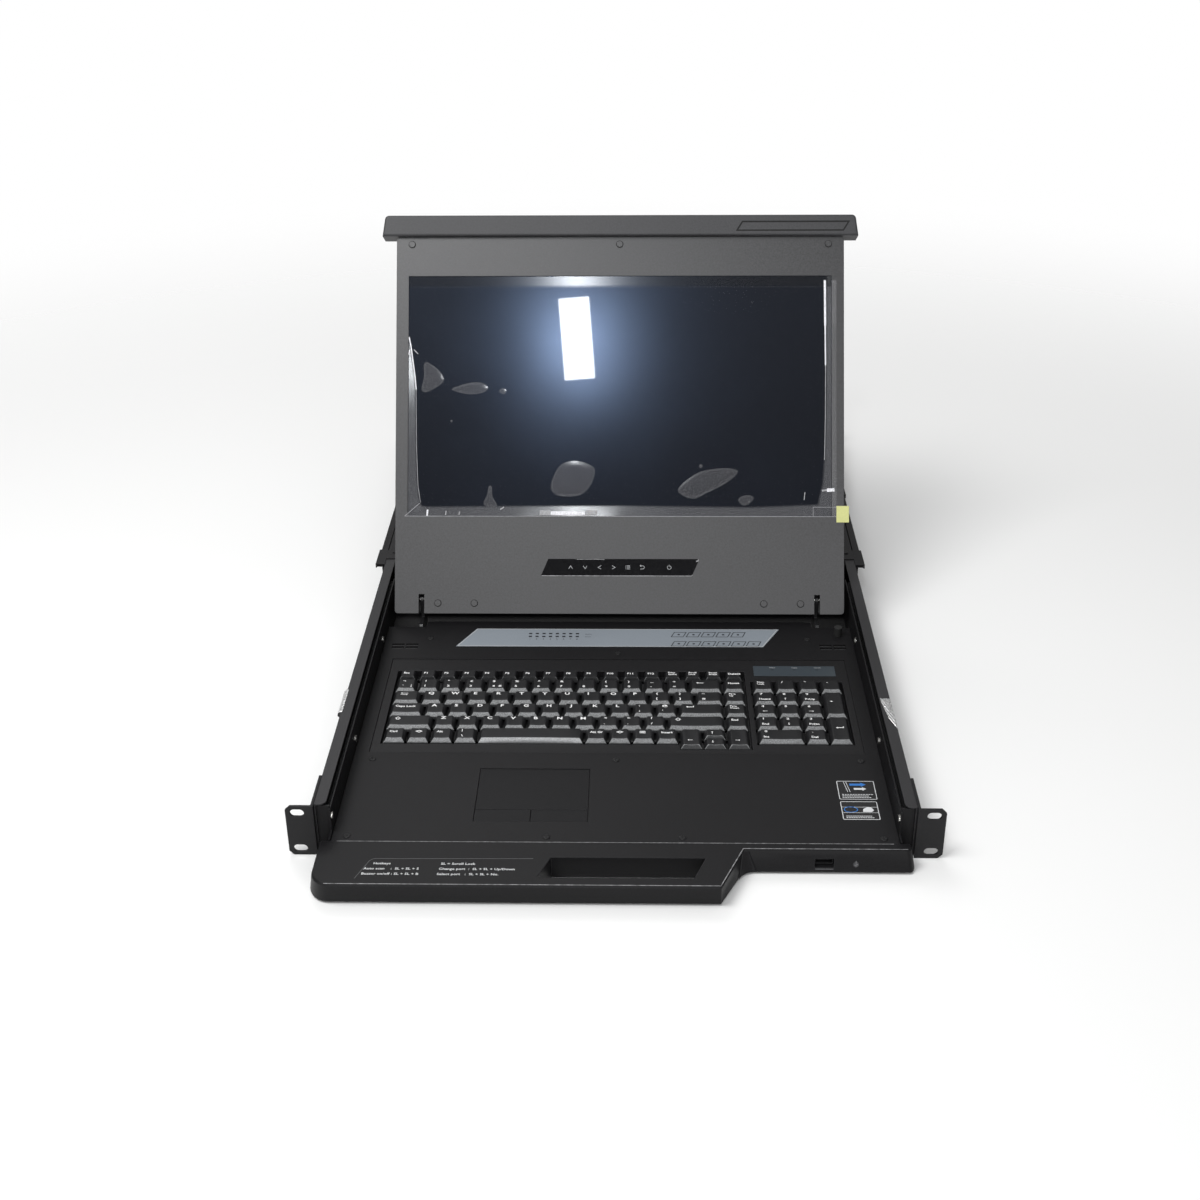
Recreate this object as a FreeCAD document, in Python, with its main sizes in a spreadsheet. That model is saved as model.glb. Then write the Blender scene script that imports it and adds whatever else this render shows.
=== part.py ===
"""Rack-mount LCD console drawer, 1U: a sheet-metal chassis with a keyboard drawer on
ball-bearing slides and a flat-panel display that folds down over the keyboard.

Frame: millimetres, +X right, +Y to the rear, +Z up. The origin is under the middle of the
front ear plane, on the underside of the chassis. The drawer is drawn closed in its chassis
and the display open; every display piece is drawn flat and then tilted about the hinge.
"""
import FreeCAD, Part
import math
import os
import re

import Sketcher

SIZES = {
    # rack ears
    "ear_span": 482.6, "ear_tall": 43.6, "ear_sheet": 2.0, "ear_leg": 40.0, "ear_reach": 20.8,
    "ear_hole_inset": 8.75, "ear_hole_span": "=ear_span - 2 * ear_hole_inset", "ear_hole_pitch": 31.75, "ear_slot_long": 10.5,
    "ear_slot_wide": 6.6, "ear_corner": 3.5,
    # chassis
    "chassis_wide": "=ear_span - 2 * ear_reach", "chassis_tall": 43.0, "chassis_front": 4.0, "chassis_rear": 580.0,
    "chassis_sheet": 1.2, "flange_wide": 8.7, "flange_gap": "=chassis_wide - 2 * flange_wide",
    "floor_front": -6.0, "flange_corner": 5.0,
    "cover_front": 397.0, "cover_sheet": 1.0, "cover_fold": 5.0,
    "cover_screw_edge": 6.9, "cover_screw_span": "=chassis_wide - 2 * cover_screw_edge", "cover_screw_inset": 13.0,
    # ball-bearing slides
    "slide_low": 5.0, "slide_high": 38.0, "slide_sheet": 1.2, "slide_step": 0.4,
    "slide_front": 8.0, "outer_slide_long": 392.0, "slide_long": 357.0,
    "race_wide": 6.6, "slide_lip": 4.9,
    # drawer
    "slide_space": 10.8, "tray_wide": "=chassis_wide - 2 * slide_space", "tray_low": 2.6, "tray_wall_high": 39.0, "tray_front": -7.5,
    "tray_rear": 365.0, "tray_sheet": 1.2, "tray_rear_wall": 16.0, "wall_front": 3.0,
    "wall_front_high": 20.0,
    "deck_high": 18.0, "deck_sheet": 1.2, "deck_rear": 321.5, "deck_notch_y": 311.5,
    "deck_notch_edge": 35.7, "deck_notch_x": "=tray_wide / 2 - deck_notch_edge", "deck_skirt": 9.0, "seat": 0.3,
    "vent_long": 10.0, "vent_wide": 1.6, "vent_edge": 14.2, "vent_x": "=tray_wide / 2 - vent_edge", "vent_step_x": 12.3, "vent_y": 274.0,
    "vent_step_y": 5.0,
    "spot_middle_edge": 17.1, "spot_middle_x": "=tray_wide / 2 - spot_middle_edge",
    "spot_middle_y": 10.0, "spot_front_edge": 12.4, "spot_front_x": "=tray_wide / 2 - spot_front_edge",
    "spot_front_y": 6.5, "spot_pair_x": 50.0, "spot_rear_edge": 41.7,
    "spot_rear_x": "=tray_wide / 2 - spot_rear_edge", "spot_rear_y": 35.0, "spot_top_y": 9.5,
    # front lip
    "lip_low": 0.8, "lip_high": 18.5, "lip_front": -58.5, "lip_inset": 4.5, "lip_half": "=chassis_wide / 2 - lip_inset", "lip_flare": 3.0,
    "lip_rake": 5.5, "lip_step_x": 94.0, "lip_step_run": 18.0, "lip_right_front": -15.3,
    "lip_corner": 16.0, "lip_end_corner": 4.5, "lip_edge": 1.2, "lip_wall": 2.4,
    "handle_left": -54.5, "handle_right": 57.0, "handle_front": -48.6, "handle_rear": -25.5,
    "handle_slant": 9.0,
    "usb_inset": 57.2, "usb_x": "=tray_wide / 2 - usb_inset", "usb_z": 8.6, "usb_wide": 13.2, "usb_tall": 5.8, "usb_long": 14.0,
    "usb_shell": 0.45, "lamp_inset": 34.3, "lamp_x": "=tray_wide / 2 - lamp_inset", "lamp_z": 7.9, "lamp_r": 2.0,
    # keyboard
    "keyboard_edge": 20.0, "pad_space": 5.6, "key_pitch": "=(tray_wide - 2 * keyboard_edge - pad_space) / 19.5",
    "row_pitch": 19.05, "key_gap": 0.8, "keyboard_aside": 0.6,
    "keys_left": "=keyboard_aside - (19.5 * key_pitch + pad_space) / 2", "keys_front": 123.25,
    "fkey_pitch": "=15.5 * key_pitch / 17", "fkey_deep": 11.6, "fkey_gap": 3.0, "fkey_space": 3.2,
    "fkey_slope": 0.6, "fkey_taper": 1.9, "pad_left": "=keys_left + 15.5 * key_pitch + pad_space",
    "key_low": 16.0, "key_high": 19.8, "key_taper": 2.85, "key_slope": 4.7, "key_back": 0.2, "arrow_slope": 3.2,
    "stem_wide": 4.0, "stem_low": 9.0, "arrow_drop": 7.0,
    "recess_edge": 12.7, "recess_half": "=tray_wide / 2 - recess_edge", "recess_front": 109.4, "recess_rear": 255.4, "frame_high": 17.4,
    "frame_low": 11.4, "frame_ledge": 3.0, "guide_sheet": 1.8, "well_gap": 0.9, "well_rear": 2.6, "fit": 0.4,
    "strip_inset": 3.3, "strip_left": "=pad_left + strip_inset", "strip_right": "=pad_left + 4 * key_pitch - strip_inset",
    "strip_front": 228.5, "strip_rear": 244.7,
    "strip_proud": 0.4,
    # touchpad
    "touch_left": -105.6, "touch_right": -20.5, "touch_front": 18.5, "touch_rear": 87.0,
    "touch_line": 33.7, "touch_split": -63.4, "touch_gap": 0.6, "touch_high": 17.5,
    "touch_low": 13.2, "touch_button_low": 14.0, "touch_sheet": 1.2, "touch_rim": 5.0,
    # status panel
    "panel_left": -143.9, "panel_right": 144.2, "panel_front": 276.6, "panel_rear": 307.8,
    "panel_slant": 16.1, "panel_sheet": 0.4,
    # hinge
    "hinge_y": 332.5, "hinge_z": 35.0, "hinge_inset": 24.3, "hinge_x": "=lid_wide / 2 - hinge_inset", "pin_r": 2.0, "pin_play": 0.05,
    "pin_up": 13.0, "pin_behind": 8.0, "arm_sheet": 3.0, "arm_half": 4.2, "arm_front": 312.6,
    "arm_long": 32.4, "arm_rear": "=arm_front + arm_long", "arm_foot": 19.2, "arm_base": 10.0, "bracket_wide": 3.4,
    "open_lean": 30.0, "stop_inset": 13.8, "stop_x": "=tray_wide / 2 - stop_inset", "stop_y": 298.0, "stop_r": 3.6, "stop_high": 26.6,
    # display
    "lid_inset": 6.2, "lid_wide": "=tray_wide - 2 * lid_inset", "lid_long": 343.5, "lid_thick": 15.6, "lid_sheet": 1.2,
    "lid_corner": 3.0, "slot_wide": 5.0, "slot_long": 17.5, "slot_back": 11.2,
    "window_side": 11.2, "window_wide": "=lid_wide - 2 * window_side", "window_low": 88.5,
    "window_top": 35.8, "window_high": "=lid_long - window_top",
    "glass_rim": 2.0, "glass_thick": 8.0, "film_sheet": 0.2, "tab_tuck": 6.9, "tab_wide": 11.3,
    "tab_left": "=lid_wide / 2 - tab_tuck", "tab_right": "=tab_left + tab_wide", "tab_low": 83.2, "tab_high": 98.2, "menu_left": -70.6,
    "menu_right": 72.8, "menu_low": 34.6, "menu_high": 49.8, "menu_slant": 6.6,
    "menu_sheet": 0.5, "spot_lid_edge": 14.1, "spot_lid_x": "=lid_wide / 2 - spot_lid_edge",
    "spot_lid_near": 25.2, "spot_lid_far": 58.3, "spot_lid_top": 6.8, "spot_lid_low": 9.4,
    "bar_deep": 19.0, "bar_inset": 4.3, "bar_half": "=chassis_wide / 2 - bar_inset", "bar_narrow": 2.6, "bar_proud": 5.0, "bar_edge": 2.0,
    "insert_left": 106.2, "insert_inset": 8.8, "insert_right": "=bar_half - insert_inset", "insert_low": 4.5, "insert_tall": 8.0,
    "insert_slant": 5.0, "insert_deep": 0.8, "insert_sheet": 0.6,
    # rear rails
    "rail_front": 385.0, "rail_long": 385.0, "rail_tall": 41.0, "rail_deep": 6.0,
    "rail_sheet": 1.2, "rail_ear_sheet": 2.0, "rail_ear_leg": 26.0, "clip_sheet": 1.0,
    "clip_long": 30.0, "clip_front": 386.0, "clip_step": 155.0, "clip_lip": 3.0, "clip_gap": 0.4,
    # rear electronics
    "panel_hole_gap": 0.2, "inlet_inset": 35.5, "inlet_x": "=inlet_inset - chassis_wide / 2", "inlet_z": 21.5, "inlet_wide": 31.0,
    "inlet_tall": 24.0, "inlet_deep": 22.0, "inlet_flange": 3.0, "inlet_cavity_wide": 24.6,
    "inlet_cavity_tall": 16.9, "inlet_cavity_deep": 17.0, "blade_wide": 4.0, "blade_thick": 2.0,
    "rocker_step": 33.0, "rocker_x": "=inlet_x + rocker_step", "rocker_wide": 13.0, "rocker_tall": 21.0, "rocker_r": 10.2,
    "rocker_spread": 66.6, "rocker_tilt": 12.0, "rocker_dish": 3.0, "rocker_back": 7.0,
    "rocker_pivot": 2.0, "rocker_pin_r": 1.5, "bezel_rim": 2.0,
    "board_space": 10.0, "board_left": "=supply_right + board_space", "board_edge": 8.5, "board_right": "=chassis_wide / 2 - board_edge", "board_front": 410.0, "board_z": 5.5,
    "board_thick": 1.6, "standoff_r": 3.0, "supply_edge": 6.5, "supply_left": "=supply_edge - chassis_wide / 2", "supply_wide": 79.0, "supply_right": "=supply_left + supply_wide",
    "supply_front": 405.0, "supply_rear": 545.0, "supply_tall": 33.0,
    "port_inset": 27.0, "port_left": "=board_left + port_inset", "port_step": 36.0, "video_wide": 15.0, "video_tall": 5.8,
    "video_deep": 12.0, "port_shell": 0.6, "data_wide": 12.0, "data_tall": 11.0,
    "data_deep": 16.0, "port_space": 3.0,
    # fasteners
    "screw_head_r": 2.8, "screw_head": 1.0, "screw_r": 1.5, "screw_long": 4.0,
    "screw_play": 0.1, "rivet_r": 3.0, "rivet_high": 25.6,
}
PORTS = 8
STEP_FOLDER = "parts"

doc = FreeCAD.newDocument("ConsoleDrawer")
sheet = doc.addObject("Spreadsheet::Sheet", "Sizes")
for row, (alias, value) in enumerate(SIZES.items(), 1):
    sheet.set(f"A{row}", alias)
    sheet.set(f"B{row}", str(value))
    sheet.setAlias(f"B{row}", alias)
doc.recompute()
nodes = []


def formula(text):
    """Point each size named in an expression at its cell of the sheet."""
    return re.sub(r"[a-z_]+", lambda word: f"Sizes.{word[0]}" if word[0] in SIZES else word[0],
                  str(text))


def bind(target, **properties):
    """Tie properties of an object to expressions in the named sizes."""
    for name, text in properties.items():
        target.setExpression(name.replace("__", "."), formula(text))


def size(alias):
    return float(sheet.get(alias))


def worth(text):
    """The number that an expression in the named sizes comes to."""
    return float(sheet.evalExpression(formula(text)))


def block(name, x, y, z):
    """A box between two expressions along each axis."""
    box = doc.addObject("Part::Box", name)
    bind(box, Length=f"({x[1]}) - ({x[0]})", Width=f"({y[1]}) - ({y[0]})",
         Height=f"({z[1]}) - ({z[0]})", Placement__Base__x=x[0], Placement__Base__y=y[0],
         Placement__Base__z=z[0])
    return box


TURN = {"x": ((0, 1, 0), 90), "y": ((1, 0, 0), -90), "z": ((0, 0, 1), 0)}


def rod(name, along, radius, start, length):
    """A cylinder from a start point, given as three expressions, along one axis."""
    bar = doc.addObject("Part::Cylinder", name)
    axis, angle = TURN[along]
    bar.Placement = FreeCAD.Placement(FreeCAD.Vector(), FreeCAD.Rotation(FreeCAD.Vector(*axis), angle))
    bind(bar, Radius=radius, Height=length, Placement__Base__x=start[0],
         Placement__Base__y=start[1], Placement__Base__z=start[2])
    return bar


def joined(name, shapes):
    union = doc.addObject("Part::MultiFuse", name)
    union.Shapes = shapes
    union.Refine = True
    return union


def grouped(name, shapes):
    """Separate solids kept together in one object."""
    bundle = doc.addObject("Part::Compound", name)
    bundle.Links = shapes
    return bundle


def cut(name, base, tools):
    difference = doc.addObject("Part::Cut", name)
    difference.Base = base
    difference.Tool = tools[0] if len(tools) == 1 else grouped(name + "_tools", tools)
    return difference


def mirrored(name, source):
    """The same piece on the other side of the middle plane."""
    twin = doc.addObject("Part::Mirroring", name)
    twin.Source = source
    twin.Normal = FreeCAD.Vector(1, 0, 0)
    return twin


def pair(name, source):
    return grouped(name, [source, mirrored(name + "_twin", source)])


PLANES = {"top": "XY_Plane", "front": "XZ_Plane", "side": "YZ_Plane"}


def outline_sketch(body, name, view, points, offset):
    """A closed outline, listed counterclockwise, with every corner tied to two expressions.

    A point of two expressions starts a straight edge. A point of three starts an arc to the
    next point, and the third expression is how far across the arc's centre lies."""
    sketch = body.newObject("Sketcher::SketchObject", name)
    plane = [item for item in body.Origin.OriginFeatures if item.Role == PLANES[view]][0]
    sketch.AttachmentSupport = [(plane, "")]
    sketch.MapMode = "FlatFace"
    count = len(points)
    corners = [FreeCAD.Vector(worth(point[0]), worth(point[1]), 0) for point in points]
    ties = []
    expressions = []
    for step, point in enumerate(points):
        start, end = corners[step], corners[(step + 1) % count]
        if len(point) == 3:
            across = worth(point[2])
            middle = (start + end) / 2
            rise = (across - middle.x) * (end.x - start.x) / (start.y - end.y)
            centre = FreeCAD.Vector(across, middle.y + rise, 0)
            circle = Part.Circle(centre, FreeCAD.Vector(0, 0, 1), start.distanceToPoint(centre))
            angles = [math.atan2(end_point.y - centre.y, end_point.x - centre.x)
                      for end_point in (start, end)]
            sketch.addGeometry(Part.ArcOfCircle(circle, *angles), False)
            ties.append(Sketcher.Constraint("DistanceX", -1, 1, step, 3, across))
            expressions.append(point[2])
        else:
            sketch.addGeometry(Part.LineSegment(start, end), False)
        ties.append(Sketcher.Constraint("DistanceX", -1, 1, step, 1, start.x))
        ties.append(Sketcher.Constraint("DistanceY", -1, 1, step, 1, start.y))
        expressions += point[:2]
    joints = [Sketcher.Constraint("Coincident", step, 2, (step + 1) % count, 1)
              for step in range(count)]
    sketch.addConstraint(joints + ties)
    for number, text in enumerate(expressions, count):
        sketch.setExpression(f"Constraints[{number}]", formula(text))
    sketch.setExpression("AttachmentOffset.Base.z", formula(offset))
    return sketch


def plate(name, view, points, low, high):
    """A PartDesign body: an outline seen from the top, front or side, padded from low to high.

    A front outline is drawn in X and Z, and its plane faces the front, so it is padded
    from its high end forwards."""
    body = doc.addObject("PartDesign::Body", name)
    start = f"-({high})" if view == "front" else low
    sketch = outline_sketch(body, name + "_outline", view, points, start)
    pad = body.newObject("PartDesign::Pad", name + "_pad")
    pad.Profile = sketch
    pad.setExpression("Length", formula(f"({high}) - ({low})"))
    doc.recompute()
    return body


def tapered(name, levels):
    """A PartDesign body lofted through outlines seen from the top, each with its height."""
    body = doc.addObject("PartDesign::Body", name)
    sketches = [outline_sketch(body, f"{name}_level_{number}", "top", points, height)
                for number, (points, height) in enumerate(levels)]
    loft = body.newObject("PartDesign::AdditiveLoft", name + "_loft")
    loft.Profile = sketches[0]
    loft.Sections = sketches[1:]
    loft.Ruled = True
    doc.recompute()
    return body


def softened(body, radius, chosen, kind="Fillet"):
    """Round (or chamfer) the edges of a body whose middle point passes the test."""
    base = body.Tip
    names = []
    for number, edge in enumerate(base.Shape.Edges, 1):
        middle = edge.valueAt((edge.FirstParameter + edge.LastParameter) / 2)
        way = edge.tangentAt(edge.FirstParameter)
        if chosen(middle, way):
            names.append(f"Edge{number}")
    feature = body.newObject("PartDesign::" + kind, f"{body.Name}_{kind.lower()}_{len(body.Group)}")
    feature.Base = (base, names)
    feature.setExpression("Radius" if kind == "Fillet" else "Size", formula(radius))
    body.Tip = feature
    doc.recompute()
    return body


def upright(way):
    return abs(way.z) > 0.7


def keep(node, shape):
    """Hand an object in as a sub-part: its label is the node's name."""
    shape.Label = node
    nodes.append(shape)
    return shape


def keep_tilted(node, shape):
    """Hand in a display piece, drawn flat with Y up the display and Z out of its face,
    leaning back about the hinge pin."""
    turned = doc.addObject("Part::Compound", node)
    turned.Links = [shape]
    rise = "(90 - open_lean) * 1 deg"
    turned.Placement = FreeCAD.Placement(FreeCAD.Vector(), FreeCAD.Rotation(FreeCAD.Vector(1, 0, 0), 1))
    bind(turned, Placement__Rotation__Angle="90 - open_lean",
         Placement__Base__y=f"hinge_y - pin_up * cos({rise}) - pin_behind * sin({rise})",
         Placement__Base__z=f"hinge_z - pin_up * sin({rise}) + pin_behind * cos({rise})")
    return keep(node, turned)


def screw(name, x, y, seat, way=1, reach="screw_long"):
    """A pan-head screw standing on a seat height, with its shank going the other way."""
    head = rod(name + "_head", "z", "screw_head_r", (x, y, seat if way > 0 else f"{seat} - screw_head"),
               "screw_head")
    shank = rod(name + "_shank", "z", "screw_r",
                (x, y, f"{seat} - {reach}" if way > 0 else seat), reach)
    return joined(name, [head, shank])


def screw_hole(name, x, y, low, high):
    return rod(name, "z", "screw_r + screw_play", (x, y, low), f"({high}) - ({low})")


# ---------------------------------------------------------------- chassis
half = "chassis_wide / 2"
inner = "chassis_wide / 2 - chassis_sheet"
lip_x = "flange_gap / 2"
under = "chassis_tall - chassis_sheet"
section = [(f"-{half}", "0"), (half, "0"), (half, "chassis_tall"), (lip_x, "chassis_tall"),
           (lip_x, under), (inner, under), (inner, "chassis_sheet"),
           (f"-({inner})", "chassis_sheet"), (f"-({inner})", under), (f"-{lip_x}", under),
           (f"-{lip_x}", "chassis_tall"), (f"-{half}", "chassis_tall")]
tray = plate("chassis_channel", "front", section, "chassis_front", "chassis_rear")
softened(tray, "flange_corner", lambda at, way: upright(way) and at.y < size("chassis_front") + 0.1
         and abs(at.x) < size("flange_gap") / 2 + 0.1 and at.z > size("chassis_tall") - 1.2)
cover_screws = [(f"{side} * cover_screw_span / 2", place) for side in (-1, 1)
                for place in ("cover_front + cover_screw_inset", "chassis_rear - cover_screw_inset")]
tongue_x = "flange_gap / 2"
floor_tongue = block("floor_tongue", (f"-{tongue_x}", tongue_x), ("floor_front", "chassis_front"),
                     ("0", "chassis_sheet"))
keep("chassis_tray", cut("chassis_tray_drilled", joined("chassis_folded", [tray, floor_tongue]), [
    screw_hole(f"cover_thread_{number}", x, y, "chassis_tall - 6", "chassis_tall + 1")
    for number, (x, y) in enumerate(cover_screws)]))

# the rear third of the chassis is closed by a screwed cover with a folded front edge
cover_top = "chassis_tall + cover_sheet"
fold_x = "flange_gap / 2 - 1"
cover = joined("cover_folded", [
    block("cover_plate", (f"-{half}", half), ("cover_front", "chassis_rear"),
          ("chassis_tall", cover_top)),
    block("cover_front_fold", (f"-({fold_x})", fold_x), ("cover_front", "cover_front + cover_sheet"),
          ("chassis_tall - cover_fold", cover_top))])
keep("rear_cover", cut("rear_cover_drilled", cover, [
    screw_hole(f"cover_hole_{number}", x, y, "chassis_tall - 1", "chassis_tall + 3")
    for number, (x, y) in enumerate(cover_screws)]))
keep("cover_screws", grouped("cover_screw_set", [
    screw(f"cover_screw_{number}", x, y, cover_top)
    for number, (x, y) in enumerate(cover_screws)]))


def rack_ear(name, side, plate_in, plate_y, leg_x, leg_y, leg_z, corner):
    """An L bracket on the right or left: an upright plate with two slots, and a leg."""
    outer = "ear_span / 2"
    ear = joined(name + "_bent", [
        block(name + "_plate", (plate_in, outer), plate_y, ("0", "ear_tall")),
        block(name + "_leg", leg_x, leg_y, leg_z)])
    tools = []
    for level, way in (("low", "-"), ("high", "+")):
        middle = f"ear_tall / 2 {way} ear_hole_pitch / 2"
        reach = "(ear_slot_long - ear_slot_wide) / 2"
        depth = (f"{plate_y[0]} - 1", f"{plate_y[1]} + 1")
        tools.append(block(f"{name}_{level}_slot", (f"ear_hole_span / 2 - {reach}",
                     f"ear_hole_span / 2 + {reach}"), depth,
                     (f"{middle} - ear_slot_wide / 2", f"{middle} + ear_slot_wide / 2")))
        for end in ("-", "+"):
            tools.append(rod(f"{name}_{level}_slot_end", "y", "ear_slot_wide / 2",
                             (f"ear_hole_span / 2 {end} {reach}", depth[0], middle),
                             f"{depth[1]} - ({depth[0]})"))
    tools.append(chamfer_tool(name, outer, plate_y, "0", 1, corner))
    tools.append(chamfer_tool(name, outer, plate_y, "ear_tall", -1, corner))
    ear = cut(name + "_slotted", ear, [joined(name + "_cutters", tools)])
    return ear if side > 0 else mirrored(name + "_left", ear)


def chamfer_tool(name, outer, plate_y, level, way, corner):
    """The small triangle that a clipped outer corner of an ear loses."""
    points = [(f"{outer} + 1", f"{level} - {way}"), (f"{outer} - {corner} - 1", f"{level} - {way}"),
              (f"{outer} + 1", f"{level} + {way} * ({corner} + 1)")]
    return plate(f"{name}_corner", "front", points, f"{plate_y[0]} - 1", f"{plate_y[1]} + 1")


for side, word in ((1, "right"), (-1, "left")):
    keep(f"{word}_ear", rack_ear(f"{word}_ear", side, half, ("0", "ear_sheet"),
                                 (half, f"{half} + ear_sheet"), ("0", "ear_leg"), ("0", "ear_tall"), "ear_corner"))

# ---------------------------------------------------------------- slides
wall_in = f"({inner})"
outer_c = [(wall_in, "slide_low"), (wall_in, "slide_high"),
           (f"{wall_in} - slide_sheet - slide_lip", "slide_high"),
           (f"{wall_in} - slide_sheet - slide_lip", "slide_high - slide_sheet"),
           (f"{wall_in} - slide_sheet", "slide_high - slide_sheet"),
           (f"{wall_in} - slide_sheet", "slide_low + slide_sheet"),
           (f"{wall_in} - slide_sheet - slide_lip", "slide_low + slide_sheet"),
           (f"{wall_in} - slide_sheet - slide_lip", "slide_low")]
keep("outer_slides", pair("outer_slide_pair", plate(
    "outer_slide", "front", outer_c, "slide_front", "slide_front + outer_slide_long")))

race_low = "slide_low + slide_sheet + slide_step"
race_high = "slide_high - slide_sheet - slide_step"
race_out = f"{wall_in} - slide_sheet - slide_step"
race_in = f"{race_out} - race_wide"
web_out = f"{race_out} - race_wide / 2 + slide_sheet / 2"
web_in = f"{web_out} - slide_sheet"
race = [(race_in, race_low), (race_out, race_low), (race_out, f"{race_low} + slide_sheet"),
        (web_out, f"{race_low} + slide_sheet"), (web_out, f"{race_high} - slide_sheet"),
        (race_out, f"{race_high} - slide_sheet"), (race_out, race_high), (race_in, race_high),
        (race_in, f"{race_high} - slide_sheet"), (web_in, f"{race_high} - slide_sheet"),
        (web_in, f"{race_low} + slide_sheet"), (race_in, f"{race_low} + slide_sheet")]
keep("middle_slides", pair("middle_slide_pair", plate(
    "middle_slide", "front", race, "slide_front", "slide_front + slide_long")))

tray_out = "tray_wide / 2"
inner_low = f"{race_low} + slide_sheet + slide_step"
inner_high = f"{race_high} - slide_sheet - slide_step"
inner_edge = f"{web_in} - slide_step"
inner_c = [(tray_out, inner_low), (inner_edge, inner_low), (inner_edge, f"{inner_low} + slide_sheet"),
           (f"{tray_out} + slide_sheet", f"{inner_low} + slide_sheet"),
           (f"{tray_out} + slide_sheet", f"{inner_high} - slide_sheet"),
           (inner_edge, f"{inner_high} - slide_sheet"), (inner_edge, inner_high),
           (tray_out, inner_high)]
keep("inner_slides", pair("inner_slide_pair", plate(
    "inner_slide", "front", inner_c, "slide_front", "slide_front + slide_long")))

# ---------------------------------------------------------------- drawer tray and deck
tray_in = "tray_wide / 2 - tray_sheet"
floor_top = "tray_low + tray_sheet"
deck_low = "deck_high - deck_sheet"
channel = [(f"-{tray_out}", "tray_low"), (tray_out, "tray_low"), (tray_out, "tray_wall_high"),
           (tray_in, "tray_wall_high"), (tray_in, floor_top), (f"-({tray_in})", floor_top),
           (f"-({tray_in})", "tray_wall_high"), (f"-{tray_out}", "tray_wall_high")]
drawer = plate("drawer_channel", "front", channel, "tray_front", "tray_rear")
relief = [block(f"wall_relief_{word}", (low, high), ("tray_front - 1", "wall_front"),
                ("wall_front_high", "tray_wall_high + 1"))
          for word, low, high in (("right", f"{tray_in} - 1", f"{tray_out} + 1"),
                                  ("left", f"-{tray_out} - 1", f"1 - ({tray_in})"))]
usb_gate = block("usb_gate", ("usb_x - usb_wide / 2 - fit", "usb_x + usb_wide / 2 + fit"),
                 ("tray_front - 1", "tray_front + tray_sheet + 1"),
                 ("usb_z - usb_tall / 2 - fit", "usb_z + usb_tall / 2 + fit"))
lamp_gate = rod("lamp_gate", "y", "lamp_r + fit", ("lamp_x", "tray_front - 1", "lamp_z"),
                "tray_sheet + 2")
wall_reach = f"({tray_in} - 2 * seat - deck_sheet)"
end_walls = [block("tray_front_wall", (f"-{wall_reach}", wall_reach),
                   ("tray_front", "tray_front + tray_sheet"), (floor_top, deck_low)),
             block("tray_rear_wall", (f"-({tray_in})", tray_in),
                   ("tray_rear - tray_sheet", "tray_rear"), (floor_top, "tray_rear_wall"))]
keep("drawer_tray", cut("drawer_tray_open", joined("drawer_box", [drawer] + end_walls),
                        relief + [usb_gate, lamp_gate]))

deck_x = f"{tray_in} - seat"
skirt_x = f"{deck_x} - deck_sheet"
canopy = [(f"-({deck_x})", "deck_skirt"), (f"-({deck_x})", "deck_high"), (deck_x, "deck_high"),
          (deck_x, "deck_skirt"), (skirt_x, "deck_skirt"), (skirt_x, deck_low),
          (f"-({skirt_x})", deck_low), (f"-({skirt_x})", "deck_skirt")]
deck = plate("deck_panel", "front", canopy, "tray_front", "deck_rear")
through_deck = ("deck_skirt - 1", "deck_high + 1")
deck_tools = [
    block("keyboard_recess", ("-recess_half", "recess_half"), ("recess_front", "recess_rear"),
          (f"{deck_low} - 1", "deck_high + 1")),
    block("touch_opening", ("touch_left - fit", "touch_right + fit"),
          ("touch_front - fit", "touch_rear + fit"), through_deck)]
for side in (-1, 1):
    out, near = f"{side} * (tray_wide / 2 + 1)", f"{side} * deck_notch_x"
    edges = (out, near) if side < 0 else (near, out)
    deck_tools.append(block("hinge_notch", edges, ("deck_notch_y", "deck_rear + 1"), through_deck))
    for column in (0, 1):
        for line in (0, 1):
            middle = f"{side} * (vent_x - {column} * vent_step_x)"
            deck_tools.append(block("vent_slot", (f"{middle} - vent_long / 2", f"{middle} + vent_long / 2"),
                              (f"vent_y + {line} * vent_step_y", f"vent_y + {line} * vent_step_y + vent_wide"),
                              (f"{deck_low} - 1", "deck_high + 1")))
deck_spots = [(x, "recess_front - spot_middle_y") for x in ("-spot_middle_x", "0", "spot_middle_x")]
deck_spots += [(x, "tray_front + spot_front_y")
               for x in ("-spot_front_x", "-spot_pair_x", "spot_pair_x", "spot_front_x")]
deck_spots += [("-spot_rear_x", "recess_rear + spot_rear_y"), ("spot_rear_x", "recess_rear + spot_rear_y"),
               ("0", "recess_rear + spot_top_y")]
deck_tools += [screw_hole(f"deck_hole_{number}", x, y, f"{deck_low} - 1", "deck_high + 1")
               for number, (x, y) in enumerate(deck_spots)]
keep("keyboard_deck", cut("keyboard_deck_cut", deck, deck_tools))
keep("deck_screws", grouped("deck_screw_set", [
    screw(f"deck_screw_{number}", x, y, "deck_high", reach="screw_long / 2")
    for number, (x, y) in enumerate(deck_spots)]))

rivets = []
for number, (y, z) in enumerate((("wall_front + 3", "rivet_high + 6"), ("recess_front + 7.4", "rivet_high"),
                                 ("recess_rear + 20", "rivet_high"))):
    for side in (-1, 1):
        start = f"({tray_in}) - screw_head" if side > 0 else f"-({tray_in})"
        rivets.append(rod(f"rivet_{number}", "x", "rivet_r", (start, y, z), "screw_head"))
keep("wall_rivets", grouped("wall_rivet_set", rivets))

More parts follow.
